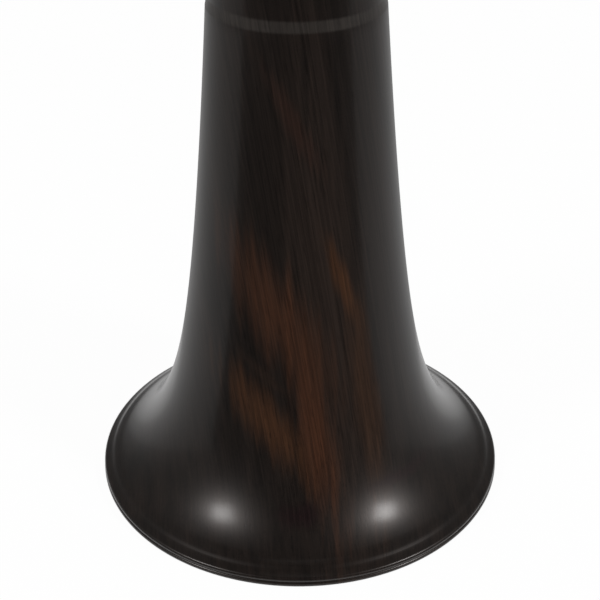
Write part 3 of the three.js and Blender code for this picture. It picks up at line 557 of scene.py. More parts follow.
# The rim's two beads: radius and height of the middle, round radius, lowest and highest angle.
rim_beads = ((57.2, 0.8, 0.8, -90, 72), (56.95, 2.2, 0.95, -48, 66))
swell_height = 2.9  # over which the line above the beads runs into the flare
roll_at, roll_width, roll_depth = 4.65, 0.55, 0.5  # the low roll that runs round above them
# The outside: a stem that narrows evenly, and two flares that die away up it, by radius and height.
stem_radius, stem_taper = 17.78, 0.0202
flares = ((20.61, 14.36), (20.84, 131.8))


def flare(z):
    """The radius of the bell's outside at a height."""
    return stem_radius - stem_taper * z + sum(out * math.exp(-z / height) for out, height in flares)


crown = flare(shoulder) - chamfer_depth  # the bell's radius above the chamfer


def bell_profile():
    """The bell's section: up its outside, past the ring's seat and down the bore."""
    outside = [point for bead in rim_beads for point in arc(*bead, 10)]
    edge, start = outside[-1]
    swell = edge - flare(start)
    for i in range(1, 91):
        z = start + (shoulder - start) * (i / 90) ** 1.8
        roll = roll_depth * math.exp(-(((z - roll_at) / roll_width) ** 2))
        outside.append((flare(z) + swell * math.exp((start - z) / swell_height) + roll, z))
    ring_foot = bell_top - ring_height
    outside += [(crown, shoulder + chamfer_height), (crown, ring_foot), (crown - ring_wall, ring_foot),
                (crown - ring_wall, bell_top)]
    inside = [(socket_radius, bell_top), (socket_radius, socket_floor), (bore_radius, socket_floor)]
    spread = (rim_radius - mouth_wall - bore_radius) / (flare(0) - flare(socket_floor))
    for i in range(59, -1, -1):
        z = socket_floor * (i / 60) ** 1.8
        inside.append((bore_radius + (flare(z) - flare(socket_floor)) * spread, z))
    return outside + inside


adopt("turned_bell", turned(bell_profile(), 192, upright(), bell_wood), bell_wood, "root", "bell", crease=28)

# ---- Metal parts ----


def rod_at(hinge):
    """The middle of a hinge's rod."""
    return polar(*hinges[hinge])


def bowed(start, end, bow, z, end_width=arm_width):
    """An arm square to the body's axis, bowed outwards."""
    middle = (start + end) / 2
    control = middle + middle.normalized() * 2 * bow
    points = [start * (1 - t) ** 2 + control * 2 * t * (1 - t) + end * t**2 + UP * z
              for t in [i / 12 for i in range(13)]]
    return bar(points, UP, (arm_width, end_width), arm_thick)


def section_bar(angle, points, widths):
    """A bar in the plane through the bore, on a smooth line through points of height and distance."""
    smooth = spline([Vector((r, z)) for z, r in points], 14)
    return bar([polar(angle, r, z) for r, z in smooth], across(angle), widths, arm_thick)


touch_corner = 3
# A touch from its underside up: how far each ring is drawn in, and its height.
touch_section = (
    (0.5, 0), (0.12, 0.15), (0, 0.5), (0, 1.3), (0.2, 1.7), (0.7, 1.95), (1.6, 2.12), (2.6, 2.2),
)


def plate(width, height, place):
    """A touch: a rounded plate with a gently domed face."""
    rings = []
    for inset, z in touch_section:
        outline = rounded(width - 2 * inset, height - 2 * inset, max(touch_corner - inset, 0.4), 5)
        rings.append([Vector((x, y, z)) * MM for x, y in outline])
    return placed(closed(rings), place)


def cup(hole):
    """A drawn pad cup with a domed crown, and the boss where its arm is soldered on."""
    z, angle, radius = hole
    outline = [(radius - 0.7, 1.25), (radius - 0.15, 1.2), (radius, 1.35), (radius, 2.6)]
    for i in range(1, 9):
        turn = math.pi / 2 * i / 9
        outline.append((radius * math.cos(turn) ** 0.55, 2.6 + 2 * math.sin(turn)))
    outline += [(0, 4.6), (0, 3.6), (radius - 0.9, 2.4)]
    boss = [(0, 4), (2.7, 4), (2.7, 4.9), (2.4, 5.3), (0, 5.45)]
    place = on_side(angle, cup_foot, z)
    return gathered(turned(outline, 40, place), turned(boss, 24, place))


def pad(hole):
    """A leather pad: a flat disc with a rolled edge."""
    z, angle, radius = hole
    r = radius - 0.9
    outline = [(0, 0.1), (r - 0.8, 0), (r - 0.25, 0.15), (r, 0.6), (r, 1.9), (0, 2)]
    return turned(outline, 36, on_side(angle, cup_foot, z))


def tube(hinge, low, high):
    """A key's tube, with eased ends."""
    end = [(tube_bore, 0), (tube_radius - 0.25, 0), (tube_radius, 0.25)]
    return turned(even_ended(end, low, high), 28, upright(rod_at(hinge)))


def post(angle, reach, z, foot, stem, ball):
    """A turned post: a flanged foot, a waisted stem and a ball for the rod."""
    centre = reach - wood_radius
    lowest = math.degrees(math.asin(stem / ball)) - 90
    outline = [(0, 0.3), (foot - 0.2, 0.3), (foot, 0.5), (foot, 1.1), (foot - 0.35, 1.45),
               (stem + 0.5, 1.7), (stem, 2.4), *arc(0, centre, ball, lowest, 90, 12)]
    outline[-1] = (0, centre + ball)
    return turned(outline, 24, on_side(angle, wood_radius, z))


longest_spring, spring_inset = 24, 3.4


def pivot(name, hinge, low_end, high_end):
    """A hinge's two posts, its steel rod with eased ends, and the needle spring beside it."""
    angle, reach = hinges[hinge]
    low, high = low_end - post_foot, high_end + post_foot
    posts = [post(angle, reach, z, post_foot, post_stem, post_ball) for z in (low, high)]
    adopt(f"{name}_posts", gathered(*posts), silver, "root", name)
    rod = even_ended([(0, 0), (rod_radius - 0.15, 0), (rod_radius, 0.2)], low - post_ball, high + post_ball)
    adopt(f"{name}_rod", turned(rod, 24, upright(rod_at(hinge))), steel, "root")
    length = min(longest_spring, (high - low) * 0.45)
    needle = [polar(angle, reach - spring_inset, z) for z in (low - 1, low + length / 2, low + length)]
    adopt(f"{name}_spring", bar(needle, across(angle), (0.8, 0.5), 0.6), blued, "root")


joint_of = {j["child"]: j for j in frame["joints"]}


def hung(name, parts, hole, open_at_rest):
    """Hangs a key on its body, turned up to its rest place, with cup and pad if it closes a hole."""
    place = Matrix.Identity(4)
    if open_at_rest:
        joint = joint_of[name]
        pin = Matrix.Translation(Vector(joint["pos_m"]))
        lift = Matrix.Rotation(math.radians(-joint["range_deg"][1]), 4, Vector(joint["axis"]))
        place = pin @ lift @ pin.inverted()
    metal = gathered(*parts, cup(hole)) if hole else gathered(*parts)
    adopt(f"{name}_metal", placed(metal, place), silver, name, name)
    if hole:
        adopt(f"{name}_pad", placed(pad(hole), place), leather, name)


arm_tip_width = 4.2
pressing_tip = polar(4, cup_top + 1.7)  # over a cup, beside the cup's own arm


def tube_key(name, hinge, low, high, hole, extras=(), bow=0.0, is_open=True, cupped=True, alone=True):
    """A key on a hinge rod, with an arm to the hole's cup, or over the cup of the key that it presses."""
    tip = polar(hole[1], cup_top) if cupped else pressing_tip
    arm = bowed(rod_at(hinge), tip, bow, hole[0], arm_tip_width)
    hung(name, [tube(hinge, low, high), arm, *extras], hole if cupped else None, is_open)
    if alone:
        pivot(f"{name}_pivot", hinge, low, high)


rocker_reach = wood_radius + 6.4
pin_tube_half, slim_post_half = 2.2, 1.6
slim_foot, slim_stem, slim_ball = 2.45, 1.3, 1.75
lone_half_turn = math.degrees(math.atan((pin_tube_half + running_gap + slim_post_half) / rocker_reach))


def cross_pin(angle, z, radius, half, flats):
    """A rocker's pin or pin tube across the body."""
    pin = even_ended([(0, 0), (radius - 0.15, 0), (radius, 0.15)], -half, half)
    return turned(pin, flats, on_side(angle, rocker_reach, z) @ laid_across)


def rocker(name, hole, pin_z, touch_z, touch_length, touch_stand):
    """A key that rocks on a cross pin, with its touch on a bar below or above it."""
    angle, touch_r = hole[1], wood_radius + touch_stand
    hung(name, [
        section_bar(angle, [(touch_z, touch_r), (pin_z, rocker_reach), (hole[0], cup_top)], (4.4, 3.8)),
        cross_pin(angle, pin_z, tube_radius, pin_tube_half, 24),
        plate(8, touch_length, on_side(angle, touch_r, touch_z)),
    ], hole, False)


def cradle(name, angles, z, half_turn=lone_half_turn):
    """The slim posts and pins that carry rockers at one height. Neighbours share a post."""
    turn = math.radians(half_turn)
    sides = sorted({round(angle + side, 6) for angle in angles for side in (-half_turn, half_turn)})
    reach = rocker_reach / math.cos(turn)
    posts = [post(side, reach, z, slim_foot, slim_stem, slim_ball) for side in sides]
    adopt(f"{name}_posts", gathered(*posts), silver, "root", name)
    pins = [cross_pin(angle, z, rod_radius, rocker_reach * math.tan(turn), 20) for angle in angles]
    adopt(f"{name}_pins", gathered(*pins), steel, "root")


# ---- The keys ----

stack_bow = 1.5  # how far a finger key's arm bows out


def stack(hand, index_extras=()):
    """A hand's three finger keys on one rod."""
    z = [holes[f"{hand}_{finger}"][0] for finger in ("ring", "middle", "index")]
    half = (z[1] - z[0] - running_gap) / 2
    for finger, at in zip(("ring", "middle", "index"), z):
        tube_key(f"{hand}_{finger}_key", "right1", at - half, at + half, holes[f"{hand}_{finger}"],
                 index_extras if finger == "index" else (), stack_bow, alone=False)
    pivot(f"{hand}_stack_pivot", "right1", z[0] - half, z[-1] + half)


link_side, outer_tongue, inner_tongue = 25, 25, 22.3
tongue_low = middle_top + 2
tongue_top = tongue_low + 5.5
tongue_root = middle_top + 29


def tongue(low, high, r):
    """A flat tongue of the linkage between the joints."""
    line = [polar(link_side, r + 1, z) for z in (low, (low + high) / 2, high)]
    return bar(line, across(link_side), (arm_width, arm_width), arm_thick)


stack("rh", [tongue(holes["rh_index"][0] - arm_width / 2, tongue_top, outer_tongue)])
stack("lh")
bridge_hole = holes["bridge"]
tube_key("bridge_key", "right1", tongue_root - arm_width, bridge_hole[0] + arm_width, bridge_hole, [
    tongue(tongue_low, tongue_root, inner_tongue),
    bowed(rod_at("right1"), polar(link_side, inner_tongue + 1), 0, tongue_root - arm_width / 2),
], stack_bow)

# The right little finger's keys: hinge, column and row of the touch, bows of the two arms.
cluster_keys = {
    "a_flat_e_flat": ("left1", 1, 0, 0, 0), "f_sharp_c_sharp": ("left2", -1, 0, 3, 0),
    "f_c": ("left3", 1, -1, 4, 4), "e_b": ("left4", -1, -1, 5, 4), "low_e_flat": ("left5", -1, 1, 3, 7),
}
cluster_side, cluster_reach, cluster_wide, cluster_high, cluster_gap, stagger = -45, 34.6, 15.5, 15, 2.4, 8.5
below_hole = 10  # how far a long hinge tube reaches below its hole
cluster_z = holes["a_flat_e_flat"][0]
cluster_top = cluster_z + stagger + cluster_high / 2
for name, (hinge, column, row, bow, touch_bow) in cluster_keys.items():
    hole = holes[name]
    aside = column * (cluster_wide + cluster_gap) / 2
    z = cluster_z + row * (cluster_high + cluster_gap) + (stagger if column < 0 else 0)
    end = polar(cluster_side, cluster_reach + 1) + across(cluster_side) * (aside - cluster_wide * 0.22)
    top = cluster_top + max(row, 0) * (cluster_high + cluster_gap) - (2 * post_foot if column > 0 else 0)
    touch = plate(cluster_wide, cluster_high, on_side(cluster_side, cluster_reach, z, aside))
    touch_arm = bowed(rod_at(hinge), end, touch_bow, z - cluster_high / 2 + 3.5)
    tube_key(f"{name}_key", hinge, hole[0] - below_hole, top, hole, [touch, touch_arm], bow,
             is_open=name != "a_flat_e_flat")

# The left little finger's levers, by the key each one closes: hinge, bow, place of the touch and stagger.
levers = {
    "f_sharp_c_sharp": ("right2", 7, 0.16, 2), "f_c": ("right3", 10, 0.13, 0), "e_b": ("right4", 13, 0.1, 1),
}
lever_top = middle_top - lower_head - lower_slope - 2 * post_foot
lever_stand, lever_width, touch_aside = 5.4, 4.4, -5  # how far a lever's bar stands off its rod
for name, (hinge, bow, share, steps_down) in levers.items():
    angle, reach = hinges[hinge]
    r = reach + lever_stand
    top = lever_top - steps_down * 2 * post_foot
    touch_z = upper_z(share)
    line = spline([Vector((0, top - 7.5)), Vector((0, middle_top)), Vector((touch_aside, touch_z))], 16)
    tube_key(f"lh_{name}_lever", hinge, holes[name][0] - below_hole, top, holes[name], [
        bar([polar(angle, r, z) + across(angle) * x for x, z in line], across(angle),
            (lever_width, lever_width), arm_thick),
        plate(7.6, 30, on_side(angle, r - 1, touch_z, touch_aside)),
        bowed(rod_at(hinge), polar(angle, r), 0, top - 5),
    ], bow, cupped=False)

thumb_hole, thumb_half = holes["thumb"], 10
tube_key("thumb_key", "back", thumb_hole[0] - thumb_half, thumb_hole[0] + thumb_half, thumb_hole, bow=stack_bow)

touch_z = throat_low + 0.28 * (throat_high - throat_low)
tube_key("throat_g_sharp_key", "right1", throat_low, throat_high, holes["throat_g_sharp"], [
    plate(7, 14, on_side(24, wood_radius + 9.5, touch_z)),
    bowed(rod_at("right1"), polar(24, wood_radius + 10.5), 0, touch_z),
], is_open=False)

# Rockers: places of the pin and the touch on the upper joint, the touch's length and how far it stands off.
rockers = {
    "throat_a": (0.845, 0.78, 14, 8.4), "register": (0.8, 0.665, 16, 8.4),
    "c_sharp_g_sharp": (0.31, 0.16, 24, 9.4),
}
for name, (pin, touch, length, stand) in rockers.items():
    rocker(f"{name}_key", holes[name], upper_z(pin), upper_z(touch), length, stand)
for name, (pin, *_) in rockers.items():
    cradle(f"{name}_key_pivot", [holes[name][1]], upper_z(pin))
side_holes = [holes[f"side_{i}"] for i in (1, 2, 3, 4)]
for i, hole in enumerate(side_holes):
    rocker(f"side_key_{i + 1}", hole, upper_z(0.46), upper_z(0.2 if i % 2 else 0.26), 16, 8)
cradle("side_key_cradle", [hole[1] for hole in side_holes], upper_z(0.46), 12)

# ---- The joints, with their rings and corks ----

tenon_radius, tenon_length, cork_wall, cork_end = 15.2, 25, 1.1, 4
neck_socket_radius, neck_socket_depth = 14, 23
fit_gap = 0.02  # left between pieces that sit on each other


def cove(start, end, z, height):
    """A turned slope between two radii that runs out smoothly at both ends."""
    return [(start + (end - start) * math.sin(math.pi / 2 * i / 12) ** 2, z + height * i / 12)
            for i in range(13)]


def scored(r, z):
    """A fine line scored round the wood."""
    return [(r, z - 0.55), (r - 0.3, z - 0.2), (r - 0.3, z + 0.2), (r, z + 0.55)]


def seat_shape(hole):
    """A seat raised out of the wood, its outside drawn in a little and its lip rounded."""
    z, angle, radius = hole
    r = radius - 1.1
    outline = [(0, 12.4), (r + 0.45, 12.4), (r + 0.35, 16.4), (r + 0.05, 18.6), (r - 0.1, seat_lip - 0.25),
               (r - 0.35, seat_lip), (0, seat_lip)]
    return turned(outline, 48, on_side(angle, 0, z))


def drill_shape(hole):
    """The drill for a tone hole, which breaks the edge of the seat."""
    z, angle, radius = hole
    r = radius - 3.1
    start = math.sqrt(bore_radius**2 - r**2) - 1
    outline = [(0, start), (r, start), (r, seat_lip - 0.6), (r + 0.7, seat_lip + 0.1),
               (r + 0.7, seat_lip + 2), (0, seat_lip + 2)]
    return turned(outline, 48, on_side(angle, 0, z))


def cork_sleeve(name, inner, outer, low, high, place):
    """A sleeve of sheet cork with its ends sanded round."""
    end = [(inner, 0), (outer - 0.5, 0), (outer - 0.12, 0.25), (outer, 0.8)]
    adopt(f"{name}_sleeve", turned(even_ended(end, low, high), 64, place), cork, "root", name)


def socket_ring(name, wood, top):
    """A metal ring let into the wood round a socket, beaded at both edges."""
    low = top - ring_height + fit_gap
    outer = wood + ring_stand
    inner = wood - ring_wall + fit_gap
    bead = [(outer, 1.1), (outer - 0.25, 1.4), (outer - 0.25, 1.7), (outer - 0.12, 2)]
    outline = [
        (inner, low), (outer - 0.35, low), (outer - 0.1, low + 0.1), (outer, low + 0.35),
        *even_ended(bead, low, top),
        (outer, top - 0.4), (outer - 0.12, top - 0.12), (outer - 0.4, top), (inner, top),
    ]
    adopt(f"{name}_beaded", turned(outline, 96, upright()), silver, "root", name)


def joint(name, low, high, foot, head, slope, socket, socket_depth, tone_holes):
    """A turned joint: corked tenon, swollen foot, plain body with tone holes, swollen socket."""
    tenon_foot = low - tenon_length
    cork_low, cork_high = tenon_foot + cork_end, low - cork_end
    groove = tenon_radius - cork_wall
    (foot_radius, foot_height), (head_radius, head_height) = foot, head
    body_low, body_high = low + foot_height + slope, high - head_height - slope
    rows = round((body_high - body_low) / 9)
    ring_foot = high - ring_height
    outline = [
        (tenon_radius - 0.5, tenon_foot), (tenon_radius, tenon_foot + 0.5), (tenon_radius, cork_low - 0.1),
        (groove, cork_low - 0.1), (groove, cork_high + 0.1), (tenon_radius, cork_high + 0.1),
        (tenon_radius, low), (foot_radius - 0.4, low), (foot_radius - 0.1, low + 0.1),
        (foot_radius, low + 0.4),
        *scored(foot_radius, low + foot_height - 1.4),
        *cove(foot_radius, wood_radius, low + foot_height, slope),
        *[(wood_radius, body_low + (body_high - body_low) * i / rows) for i in range(1, rows)],
        *cove(wood_radius, head_radius, body_high, slope), *scored(head_radius, high - head_height + 1.4),
        *scored(head_radius, ring_foot - 1.6), (head_radius, ring_foot - 0.15),
        (head_radius - 0.15, ring_foot), (head_radius - ring_wall, ring_foot),
        (head_radius - ring_wall, high),
        (socket, high), (socket, high - socket_depth), (bore_radius, high - socket_depth),
        (bore_radius, tenon_foot),
    ]
    wood = turned(outline, 96, upright())
    wood = carved(wood, gathered(*[seat_shape(hole) for hole in tone_holes]), "UNION")
    wood = carved(wood, gathered(*[drill_shape(hole) for hole in tone_holes]), "DIFFERENCE")
    adopt(f"{name}_turned", wood, joint_wood, "root", name)
    cork_sleeve(f"{name}_tenon_cork", groove + fit_gap, tenon_radius + cork_wall, cork_low, cork_high,
                upright())
    socket_ring(f"{name}_socket_ring", head_radius, high)


joint("lower_joint", bell_top, middle_top, (20.4, 14), (21.6, lower_head), lower_slope,
      socket_radius, bell_top - socket_floor, lower_holes.values())
joint("upper_joint", middle_top, body_top, (19.4, 6), (19.4, upper_head), upper_slope,
      neck_socket_radius, neck_socket_depth, upper_holes.values())
socket_ring("bell_socket_ring", crown, bell_top)

# ---- The neck ----

neck_radius, neck_wall, neck_rise, bend_radius, neck_run, neck_end = 10.6, 1, 47.3, 44, 34, 24
neck_tenon_radius, neck_tenon_length, neck_cork = 12.2, 22, 1.2
bend = math.radians(102)
neck_ahead = Vector((0, math.sin(bend), math.cos(bend)))
bend_middle = Vector((0, bend_radius, body_top + neck_rise))


def on_bend(turn):
    """A point on the bend's middle line."""
    return bend_middle + Vector((0, -math.cos(turn), math.sin(turn))) * bend_radius


# The neck's middle line, by points and how far it has turned there.
neck_line = [(UP * (body_top - neck_tenon_length), 0), (UP * (body_top + neck_rise - 0.01), 0)]
neck_line += [(on_bend(bend * i / 48), bend * i / 48) for i in range(49)]
mouthpiece_foot = on_bend(bend) + neck_ahead * neck_run
neck_line.append((mouthpiece_foot + neck_ahead * neck_end, bend))


def neck_rings(radius):
    """Rings round the neck's middle line."""
    return [circle(point, Vector((1, 0, 0)), Vector((0, math.cos(turn), -math.sin(turn))), radius, 56)
            for point, turn in neck_line]


# Where the mouthpiece's foot sits on the neck: the neck's end runs up Z, and the reed faces +Y.
at_mouthpiece = Matrix.Translation(axis + mouthpiece_foot * MM) @ Matrix.Rotation(-bend, 4, "X")
collar = [(10.2, 0), (16.4, 0), (16.8, 0.15), (17, 0.5), (17, 1.5), (16.6, 2), (15.4, 2.3)]
for i in range(1, 9):
    turn = math.pi / 2 * i / 8
    collar.append((15.4 - 4 * math.sin(turn), 2.3 + 2.6 * (1 - math.cos(turn))))
collar.append((10.2, 4.95))
ferrule = [(10.2, -6.4), (11, -6.4), (11.5, -6.1), (11.6, -5.7), (11.3, -5.3), (11.15, -4.9), (11.15, -2.2),
           (11.3, -1.8), (11.6, -1.4), (11.5, -1), (11, -0.7), (10.2, -0.7)]
neck_tenon = [(9.8, -neck_tenon_length), (neck_tenon_radius - 0.3, -neck_tenon_length),
              (neck_tenon_radius, 0.3 - neck_tenon_length), (neck_tenon_radius, 0.2), (9.8, 0.2)]
on_body = upright(UP * body_top)
adopt("neck_metal", gathered(
    closed(neck_rings(neck_radius) + neck_rings(neck_radius - neck_wall)[::-1], looped=True),
    turned(collar, 80, on_body), turned(neck_tenon, 64, on_body),
    turned(ferrule, 64, upright(UP * (body_top + neck_rise))), turned(ferrule, 64, at_mouthpiece),
), silver, "root", "neck_tube")
cork_sleeve("neck_tenon_cork", neck_tenon_radius + fit_gap, neck_tenon_radius + 0.3 + neck_cork,
            body_top - neck_tenon_length + 2, body_top - 2, upright())
cork_sleeve("mouthpiece_cork", neck_radius + fit_gap, neck_radius + 0.3 + neck_cork, 2, neck_end - 2,
            at_mouthpiece)

# ---- The mouthpiece, reed and ligature, in the mouthpiece's own frame ----

shank_radius, barrel_radius, mouthpiece_length, table = 15.2, 13.6, 92, 9.4  # the table carries the reed
tip_thickness, tip_half_width, beak_start = 1.6, 8, 49.5
tip_start = mouthpiece_length - 3  # where the tip rounds off
outside = 17  # clear of the mouthpiece on every side
side_on = Matrix(((0, 0, 1), (0, 1, 0), (1, 0, 0))).to_4x4()  # outlines of z and y, thickness along X
plan_on = Matrix(((1, 0, 0), (0, 0, 1), (0, 1, 0))).to_4x4()  # outlines of x and z, thickness along Y

blank = [(11.95, 0), (14.2, 0), (14.7, 0.15), (15, 0.6), *scored(shank_radius, 3.4), *scored(shank_radius, 5),
         *scored(shank_radius, 17.4), *scored(shank_radius, 19), (shank_radius, 20.8),
         (shank_radius - 0.3, 21.5), (barrel_radius + 0.5, 22.6), (barrel_radius + 0.1, 23.6),
         (barrel_radius, 24.6),
         *[(barrel_radius, z) for z in range(30, 92, 6)], (barrel_radius, mouthpiece_length),
         (0, mouthpiece_length), (0, 54), (7.4, 54), (7.4, 26), (12.35, 26), (12.35, 0.4)]
tip = table - tip_thickness
beak = []
for i in range(25):
    share = i / 24
    beak.append((beak_start + (mouthpiece_length - beak_start) * share,
                 -barrel_radius + (tip + barrel_radius) * (share + 0.07 * math.sin(math.pi * share))))
plan = [(-outside, -2), (-outside, beak_start - 4)]
for i in range(13):
    share = i / 12
    narrower = (barrel_radius + 0.2 - tip_half_width) * math.sin(math.pi / 2 * share) ** 1.2
    plan.append((narrower - barrel_radius - 0.2, beak_start + (tip_start - beak_start) * share))
for i in range(1, 9):
    turn = math.pi / 2 * i / 8
    plan.append((-tip_half_width * math.cos(turn), tip_start + 2.98 * math.sin(turn)))
plan += [(-x, z) for x, z in reversed(plan[:-1])]
mouthpiece_mesh = turned(blank, 96)
for outline, half, seen, work in (
    ([(26.2, table), (94, table), (94, outside), (26.2, outside)], 18, side_on, "DIFFERENCE"),  # the table
    ([*beak, (94, tip), (94, -outside), (beak_start, -outside)], 18, side_on, "DIFFERENCE"),
    (plan, 18, plan_on, "INTERSECT"),
    ([(42, 0), (84, table - 1), (84, outside), (42, outside)], 5.25, side_on, "DIFFERENCE"),  # the window
):
    mouthpiece_mesh = carved(mouthpiece_mesh, prism(outline, -half, half, seen), work)
adopt("mouthpiece_turned", placed(mouthpiece_mesh, at_mouthpiece), ebonite, "root", "mouthpiece", crease=24)

reed_foot, reed_half_width, vamp_length, reed_face = 28, 6.7, 36, table + fit_gap
reed_rings = []
for i in range(61):
    z = reed_foot + (mouthpiece_length - reed_foot) * (i / 60) ** 0.8
    near_tip = max(0, (z - 89.4) / 2.6)
    half = reed_half_width - 0.25 * (1 - min(1, (z - reed_foot) / 30)) - 2.6 * near_tip**2.4
    left_of_vamp = min(1, (mouthpiece_length - z) / vamp_length)
    ring = [(half, reed_face), (-half, reed_face)]
    for j in range(15):
        x = half * (j / 7 - 1)
        out = (x / reed_half_width) ** 2
        bark = min(math.sqrt(13.5**2 - x**2), 12.9 + 0.25 * (1 - out))
        scrape = reed_face + 0.18 + 3.2 * left_of_vamp**1.35 * (1 - 0.3 * out)
        ring.append((x, max(reed_face + 0.1, bark if left_of_vamp == 1 else min(bark, scrape))))
    reed_rings.append([Vector((x, y, z)) * MM for x, y in ring])
cane = scraped_cane(at_mouthpiece, bend)
adopt("reed_blade", placed(closed(reed_rings), at_mouthpiece), cane, "root", "reed", crease=40)

band_inner, band_low, band_high, slot_half, ear_thick, ear_rise = 13.9, 27, 51, 1.8, 3, 7
bead, band_outer, cove_high = 0.65, band_inner + 0.85, 0.9
low_bead, high_bead = band_low + bead, band_high - bead
section = [
    *arc(band_inner + bead, high_bead, bead, 180, -60, 8), (band_outer, high_bead - cove_high),
    (band_outer, low_bead + cove_high), *arc(band_inner + bead, low_bead, bead, 60, -180, 8),
    (band_inner, low_bead + cove_high),
]
band_rings = []
open_turn = math.asin((slot_half + 0.2) / band_inner)
for i in range(73):
    turn = math.pi / 2 + open_turn + (2 * math.pi - 2 * open_turn) * i / 72
    band_rings.append([Vector((r * math.cos(turn), r * math.sin(turn), z)) * MM for r, z in section])
ears = []
for side in (1, -1):
    ear = []
    for inset, x in ((0.5, 0), (0, 0.4), (0, ear_thick - 0.6), (0.6, ear_thick)):
        outline = rounded(ear_rise - 2 * inset, band_high - band_low - 2 * inset, 2.2, 5)
        ear.append([Vector((side * (slot_half + x), band_inner + 0.2 + ear_rise / 2 + y,
                            (band_low + band_high) / 2 + z)) * MM for y, z in outline])
    ears.append(closed(ear))
adopt("ligature_band", placed(gathered(closed(band_rings), *ears), at_mouthpiece), silver, "root", "ligature")

screw_y, head_start, head_radius, knurls = 18.1, 5.1, 4, 28
shank = [(0, -4.8), (1.1, -4.8), (1.35, -4.5), (1.4, 4.9), (2.2, 4.9), (2.4, 5.2), (0, 5.2)]
head = []
for inset, x in ((1, 0), (0.3, 0.2), (0.02, 0.7), (0.02, 4.6), (0.35, 5.2), (1.3, 5.75), (2.6, 5.98)):
    knurl = 0.2 if inset < 0.1 else 0
    ring = []
    for k in range(2 * knurls):
        r, turn = head_radius - inset - knurl * (k % 2), math.pi * k / knurls
        ring.append(Vector((r * math.cos(turn), r * math.sin(turn), head_start + x)) * MM)
    head.append(ring)
for name, z in (("ligature_screw_1", 33), ("ligature_screw_2", 45)):
    place = at_mouthpiece @ Matrix.Translation(Vector((0, screw_y, z)) * MM) @ laid_across
    screw = placed(gathered(turned(shank, 24), closed(head)), place)
    adopt(f"{name}_knurled", screw, silver, "root", name, crease=20)

# ---- The thumb rest and the strap ring ----


def saddle(width, height, thick, z, corner):
    """A foot plate bent round the back of the body, held by two slotted screws."""
    base = wood_radius + 0.05
    rings = []
    for i in range(25):
        x = width * (i / 24 - 0.5) * 0.998
        past = max(0, abs(x) - (width / 2 - corner))
        half = height / 2 - corner + math.sqrt(corner**2 - past**2)
        top = thick - 0.5 if i in (0, 24) else thick
        outline = even_ended([(0, 0), (top - 0.5, 0), (top, 0.5)], -half, half)
        rings.append([axis + polar(180 - math.degrees(x / base), base + r, z + h) * MM for r, h in outline])
    parts = [closed(rings)]
    for side in (-1, 1):
        head = turned([(0, -0.8), (1.9, -0.8), (1.9, 0.1), (1.6, 0.45), (0.9, 0.7), (0, 0.8)], 24)
        head = carved(head, prism(rounded(4.2, 0.5, 0.05, 1), 0.3, 1.2), "DIFFERENCE")
        place = on_side(180, base + thick, z + side * (height / 2 - 3.2))
        parts.append(placed(head, place @ Matrix.Rotation(0.5 * side, 4, "Z")))
    return parts


thumb_z = lower_z(0.8)
hook_line = [(thumb_z - 5, 2), (thumb_z - 1, 5.5), (thumb_z, 10), (thumb_z - 2.2, 16.4)]
hook = section_bar(180, [(z, wood_radius + out) for z, out in hook_line], (14, 12.5))
adopt("thumb_rest_hook", gathered(*saddle(16, 24, 2.2, thumb_z, 4), hook), silver, "root", "thumb_rest")

strap_z = upper_z(0.1)
eye_radius, eye_wire, eye_foot = 6.5, 1.5, 1.8
eye_reach = wood_radius + eye_foot + eye_radius + eye_wire / 2
eye = []
for i in range(48):
    turn = 2 * math.pi * i / 48
    spoke = direction(180) * math.cos(turn) + UP * math.sin(turn)
    middle = polar(180, eye_reach, strap_z) + spoke * eye_radius
    eye.append(circle(middle, spoke, Vector((1, 0, 0)), eye_wire, 20))
strap_ring = gathered(*saddle(12, 16, eye_foot, strap_z, 3.5), closed(eye, looped=True))
adopt("strap_ring_eye", strap_ring, silver, "root", "strap_ring")

# ---- The studio, its own sizes in metres ----


def in_view(tree):
    """1 for what the camera sees itself, in a mirror or through glass, and 0 for light on the object."""
    ray = add(tree, "ShaderNodeLightPath")
    mirrored = add(tree, "ShaderNodeMath", {"operation": "MAXIMUM"}, links={
        0: ray.outputs["Is Camera Ray"], 1: ray.outputs["Is Glossy Ray"],
    })
    return add(tree, "ShaderNodeMath", {"operation": "MAXIMUM"}, links={
        0: mirrored, 1: ray.outputs["Is Transmission Ray"],
    })


def glowing(name):
    """A studio material that may glow by itself but is no lamp, and its tree."""
    made = bpy.data.materials.new(name)
    made.cycles.emission_sampling = "NONE"
    return made, cleared(made)


def sheet(name, points, faces, material):
    """A flat piece of the studio."""
    mesh = bpy.data.meshes.new(name)
    mesh.from_pydata(points, [], faces)
    mesh.materials.append(material)
    made = put(name, mesh)
    return made


# Studio paper, matt: a near white that takes a soft shadow.
studio_paper, tree = glowing("studio paper")
paper = add(tree, "ShaderNodeBsdfDiffuse", values={"Color": linear("#f4f4f4")})
white = add(tree, "ShaderNodeEmission", values={"Strength": 1})
# Round the instrument the paper keeps its shadow, and further off it runs into the white.
spot = add(tree, "ShaderNodeTexCoord")
away = add(tree, "ShaderNodeVectorMath", {"operation": "LENGTH"}, links={0: spot.outputs["Object"]})
fade = add(tree, "ShaderNodeMapRange", values={
    "From Min": 0.3, "From Max": 1.2, "To Min": 0.965, "To Max": 1,
}, links={"Value": away.outputs["Value"]})
part_white = add(tree, "ShaderNodeMath", {"operation": "MULTIPLY"}, links={0: in_view(tree), 1: fade})
both = add(tree, "ShaderNodeMixShader", links={0: part_white, 1: paper, 2: white})
add(tree, "ShaderNodeOutputMaterial", links={"Surface": both})
sheet("studio floor", [(-40, -40, 0), (40, -40, 0), (40, 40, 0), (-40, 40, 0)], [(0, 1, 2, 3)], studio_paper)

